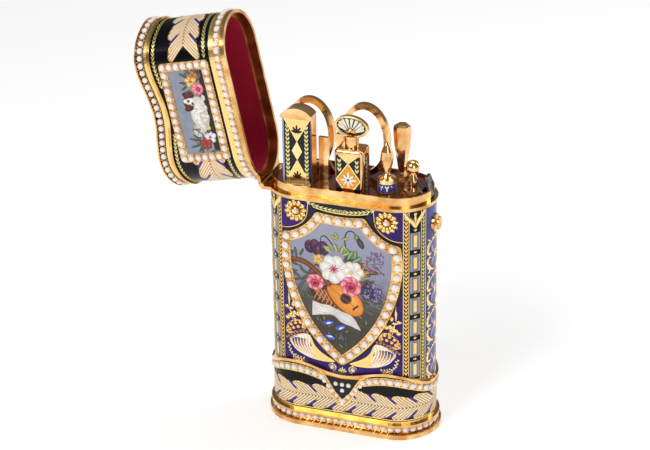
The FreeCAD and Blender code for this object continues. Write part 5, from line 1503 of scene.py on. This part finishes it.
def needle_face(bm):
    add_shape(bm, [(-19.2, 46.0), (-10.9, 46.0), (-10.9, 101.1), (-19.2, 101.1)], 0.02,
              BLACK_ENAMEL)
    add_stroke(bm, [(-19.5, 46.0), (-19.5, 101.0)], 0.28, 0.03, tint(176, 168, 196), taper=False)
    add_stroke(bm, [(-10.75, 46.0), (-10.75, 101.0)], 0.16, 0.03, tint(36, 36, 96), taper=False)
    for k in range(2):
        top = 101.1 - 20.7 * k
        mid = top - 7.1
        add_shape(bm, [(-19.1, top), (-11.0, top), (-15.1, mid)], 0.04, GOLD_PAINT)
        add_shape(bm, [(-15.1, mid), (-13.5, mid - 3.2), (-15.1, mid - 6.1), (-16.8, mid - 3.2)],
                  0.05, PALE_GOLD)
        add_shape(bm, [(-15.1, mid - 6.1), (-19.1, mid - 13.6), (-11.0, mid - 13.6)], 0.04,
                  GOLD_PAINT)
        for line in ([(-19.1, top), (-15.1, mid), (-11.0, top)],
                     [(-19.1, mid - 13.6), (-15.1, mid - 6.1), (-11.0, mid - 13.6)]):
            for a, b in zip(line, line[1:]):
                add_stroke(bm, [a, b], 0.13, 0.08, PALE_GOLD, taper=False)
        spray(bm, -15.1, top - 4.4, 0, 2.6, BLACK_ENAMEL)
        spray(bm, -15.1, mid - 11.9, 0, 2.4, BLACK_ENAMEL)
    for side in (-1, 1):
        chain = [(-15.1 + side * 3.0, 48.0 + 1.35 * k) for k in range(39)]
        for x, y in chain:
            for lean in (-1, 1):
                add_stroke(bm, leaf_line(x, y, 24 * lean, 1.35), 0.24, 0.06, LAUREL_GREEN_GOLD)


for label, place in (("front", flat_face(-7.2)), ("back", flat_face(-2.4, 1, (-19.9 - 10.5) / 2))):
    bm = flat_sheet()
    needle_face(bm)
    fit_sheet(bm, "needle_case_" + label, place, 0.0, "needle_case")

# ---- scent bottle and its stopper ----------------------------------------------------
# Gold over glass, with an enamelled star in a lozenge on each face. The stopper is a
# fan of white petals between dark rays.
def bottle_front(bm):
    add_shape(bm, [(-2.1, 56.5), (5.5, 56.5), (5.5, 92.2), (-2.1, 92.2)], 0.02, BLACK_ENAMEL)
    for k in range(3):
        cy = 84.4 - 10.6 * k
        lozenge = [(1.7, cy + 5.3), (5.5, cy), (1.7, cy - 5.3), (-2.1, cy)]
        add_shape(bm, lozenge, 0.04, DEEP_GOLD)
        for a, b in zip(lozenge, lozenge[1:] + lozenge[:1]):
            add_stroke(bm, [a, b], 0.14, 0.09, PALE_GOLD, taper=False)
        for spoke in range(8):
            add_stroke(bm, leaf_line(1.7, cy, 45 * spoke, 2.6 if spoke % 2 == 0 else 2.2),
                       0.32, 0.08, WHITE_ENAMEL)
            add_stroke(bm, leaf_line(1.7, cy, 45 * spoke + 22, 1.4), 0.1, 0.06, BLACK_ENAMEL)
        add_shape(bm, round_spot(1.7, cy, 0.3), 0.10, BLACK_ENAMEL)
        for side in (-1, 1):
            for y in (cy + 2.6, cy + 4.0, cy + 5.4):
                for lean in (-1, 1):
                    add_stroke(bm, leaf_line(1.7 + side * 2.75, y, 24 * lean, 1.3), 0.24, 0.06,
                               LAUREL_GREEN_GOLD)
    add_shape(bm, [(-1.3, 92.2), (4.7, 92.2), (1.7, 89.7)], 0.05, GOLD_PAINT)
    for x in (-1.3, 4.7):
        add_stroke(bm, [(x, 92.2), (1.7, 89.7)], 0.12, 0.08, PALE_GOLD, taper=False)


for label, y, facing in (("front", -9.1, -1), ("back", -1.7, 1)):
    bm = flat_sheet()
    bottle_front(bm)
    fit_sheet(bm, "bottle_" + label, flat_face(y, facing, 1.7), 0.0, "bottle")


def bottle_side(facing):
    """Surface on the narrow sides of the bottle."""
    return lambda u, v, lift: Vector((1.7 + facing * (4.5 + lift), -5.4 + facing * u, v)) * MM


for label, facing in (("left", -1), ("right", 1)):
    bm = flat_sheet()
    add_shape(bm, [(-1.5, 56.5), (1.5, 56.5), (1.5, 91.8), (-1.5, 91.8)], 0.02, BLACK_ENAMEL)
    for k in range(24):
        for lean in (-1, 1):
            add_stroke(bm, leaf_line(0, 57.4 + 1.42 * k, 34 * lean, 1.5), 0.24, 0.06,
                       LAUREL_GREEN_GOLD)
    fit_sheet(bm, "bottle_side_" + label, bottle_side(facing), 0.0, "bottle")


def fan_place(y, facing):
    """Surface on a face of the tilted fan, whose middle is (1.7, 100.2)."""
    c, s = math.cos(math.radians(6)), math.sin(math.radians(6))
    return lambda u, v, lift: Vector((1.7 - facing * (u * c) + v * s, y + facing * lift,
                                      100.2 - u * s * -facing + v * c)) * MM


def fan_face(bm):
    add_shape(bm, round_spot(0, 0.15, 4.55, 2.75, count=28), 0.02, tint(22, 20, 52))
    for k in range(9):
        a = math.radians(-8 + 196 * k / 8)
        tip = (4.25 * math.cos(a), 0.25 + 2.45 * math.sin(a))
        base = (1.25 * math.cos(a), -1.5 + 1.1 * max(math.sin(a), 0))
        half = 0.72
        nx, ny = -math.sin(a), math.cos(a)
        outline = [(base[0] + nx * 0.12, base[1] + ny * 0.12),
                   (tip[0] * 0.9 + nx * half * 0.8, tip[1] * 0.9 + ny * half * 0.8),
                   tip,
                   (tip[0] * 0.9 - nx * half * 0.8, tip[1] * 0.9 - ny * half * 0.8),
                   (base[0] - nx * 0.12, base[1] - ny * 0.12)]
        add_shape(bm, outline, 0.05, tint(236, 224, 190), core=WHITE_ENAMEL)
    disc = [(1.7 * math.cos(a), -1.9 + 1.35 * math.sin(a))
            for a in [math.pi * k / 12 for k in range(13)]]
    add_shape(bm, disc + [(1.1, -2.6), (-1.1, -2.6)], 0.12, DEEP_GOLD, core=PALE_GOLD, rise=0.15)
    rim = round_spot(0, 0, 4.85, 3.0, count=32)
    add_stroke(bm, rim + rim[:2], 0.2, 0.06, PALE_GOLD, crown=0.08, taper=False)


for label, y, facing in (("front", -6.05, -1), ("back", -4.75, 1)):
    bm = flat_sheet()
    fan_face(bm)
    fit_sheet(bm, "stopper_fan_" + label, fan_place(y, facing), 0.0, "stopper")

# ---- bodkin --------------------------------------------------------------------------
# The turned handle carries one band of blue enamel sown with gold leaves.
def bodkin_band(u, v, lift):
    """Surface round the lower bulb of the handle."""
    out = 2.8 + lift
    return Vector((12.8 + out * math.sin(u / 2.8), -5.9 - out * math.cos(u / 2.8), v)) * MM


bm = flat_sheet()
ring = [2 * math.pi * 2.8 * (k / 32 - 0.5) for k in range(33)]
add_stroke(bm, [(u, 83.0) for u in ring], 1.4, 0.03, tint(40, 58, 150), taper=False)
for y in (81.55, 84.45):
    add_stroke(bm, [(u, y) for u in ring], 0.14, 0.09, PALE_GOLD, taper=False)
for k in range(10):
    for lean in (-35, 35, 180):
        add_stroke(bm, leaf_line(ring[0] + 2 * math.pi * 0.28 * (k + 0.5), 83.0, lean, 1.0), 0.2,
                   0.08 + 0.01 * (lean > 0), PALE_GOLD)
fit_sheet(bm, "bodkin_enamel", bodkin_band, 0.0, "bodkin")

low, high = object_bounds()
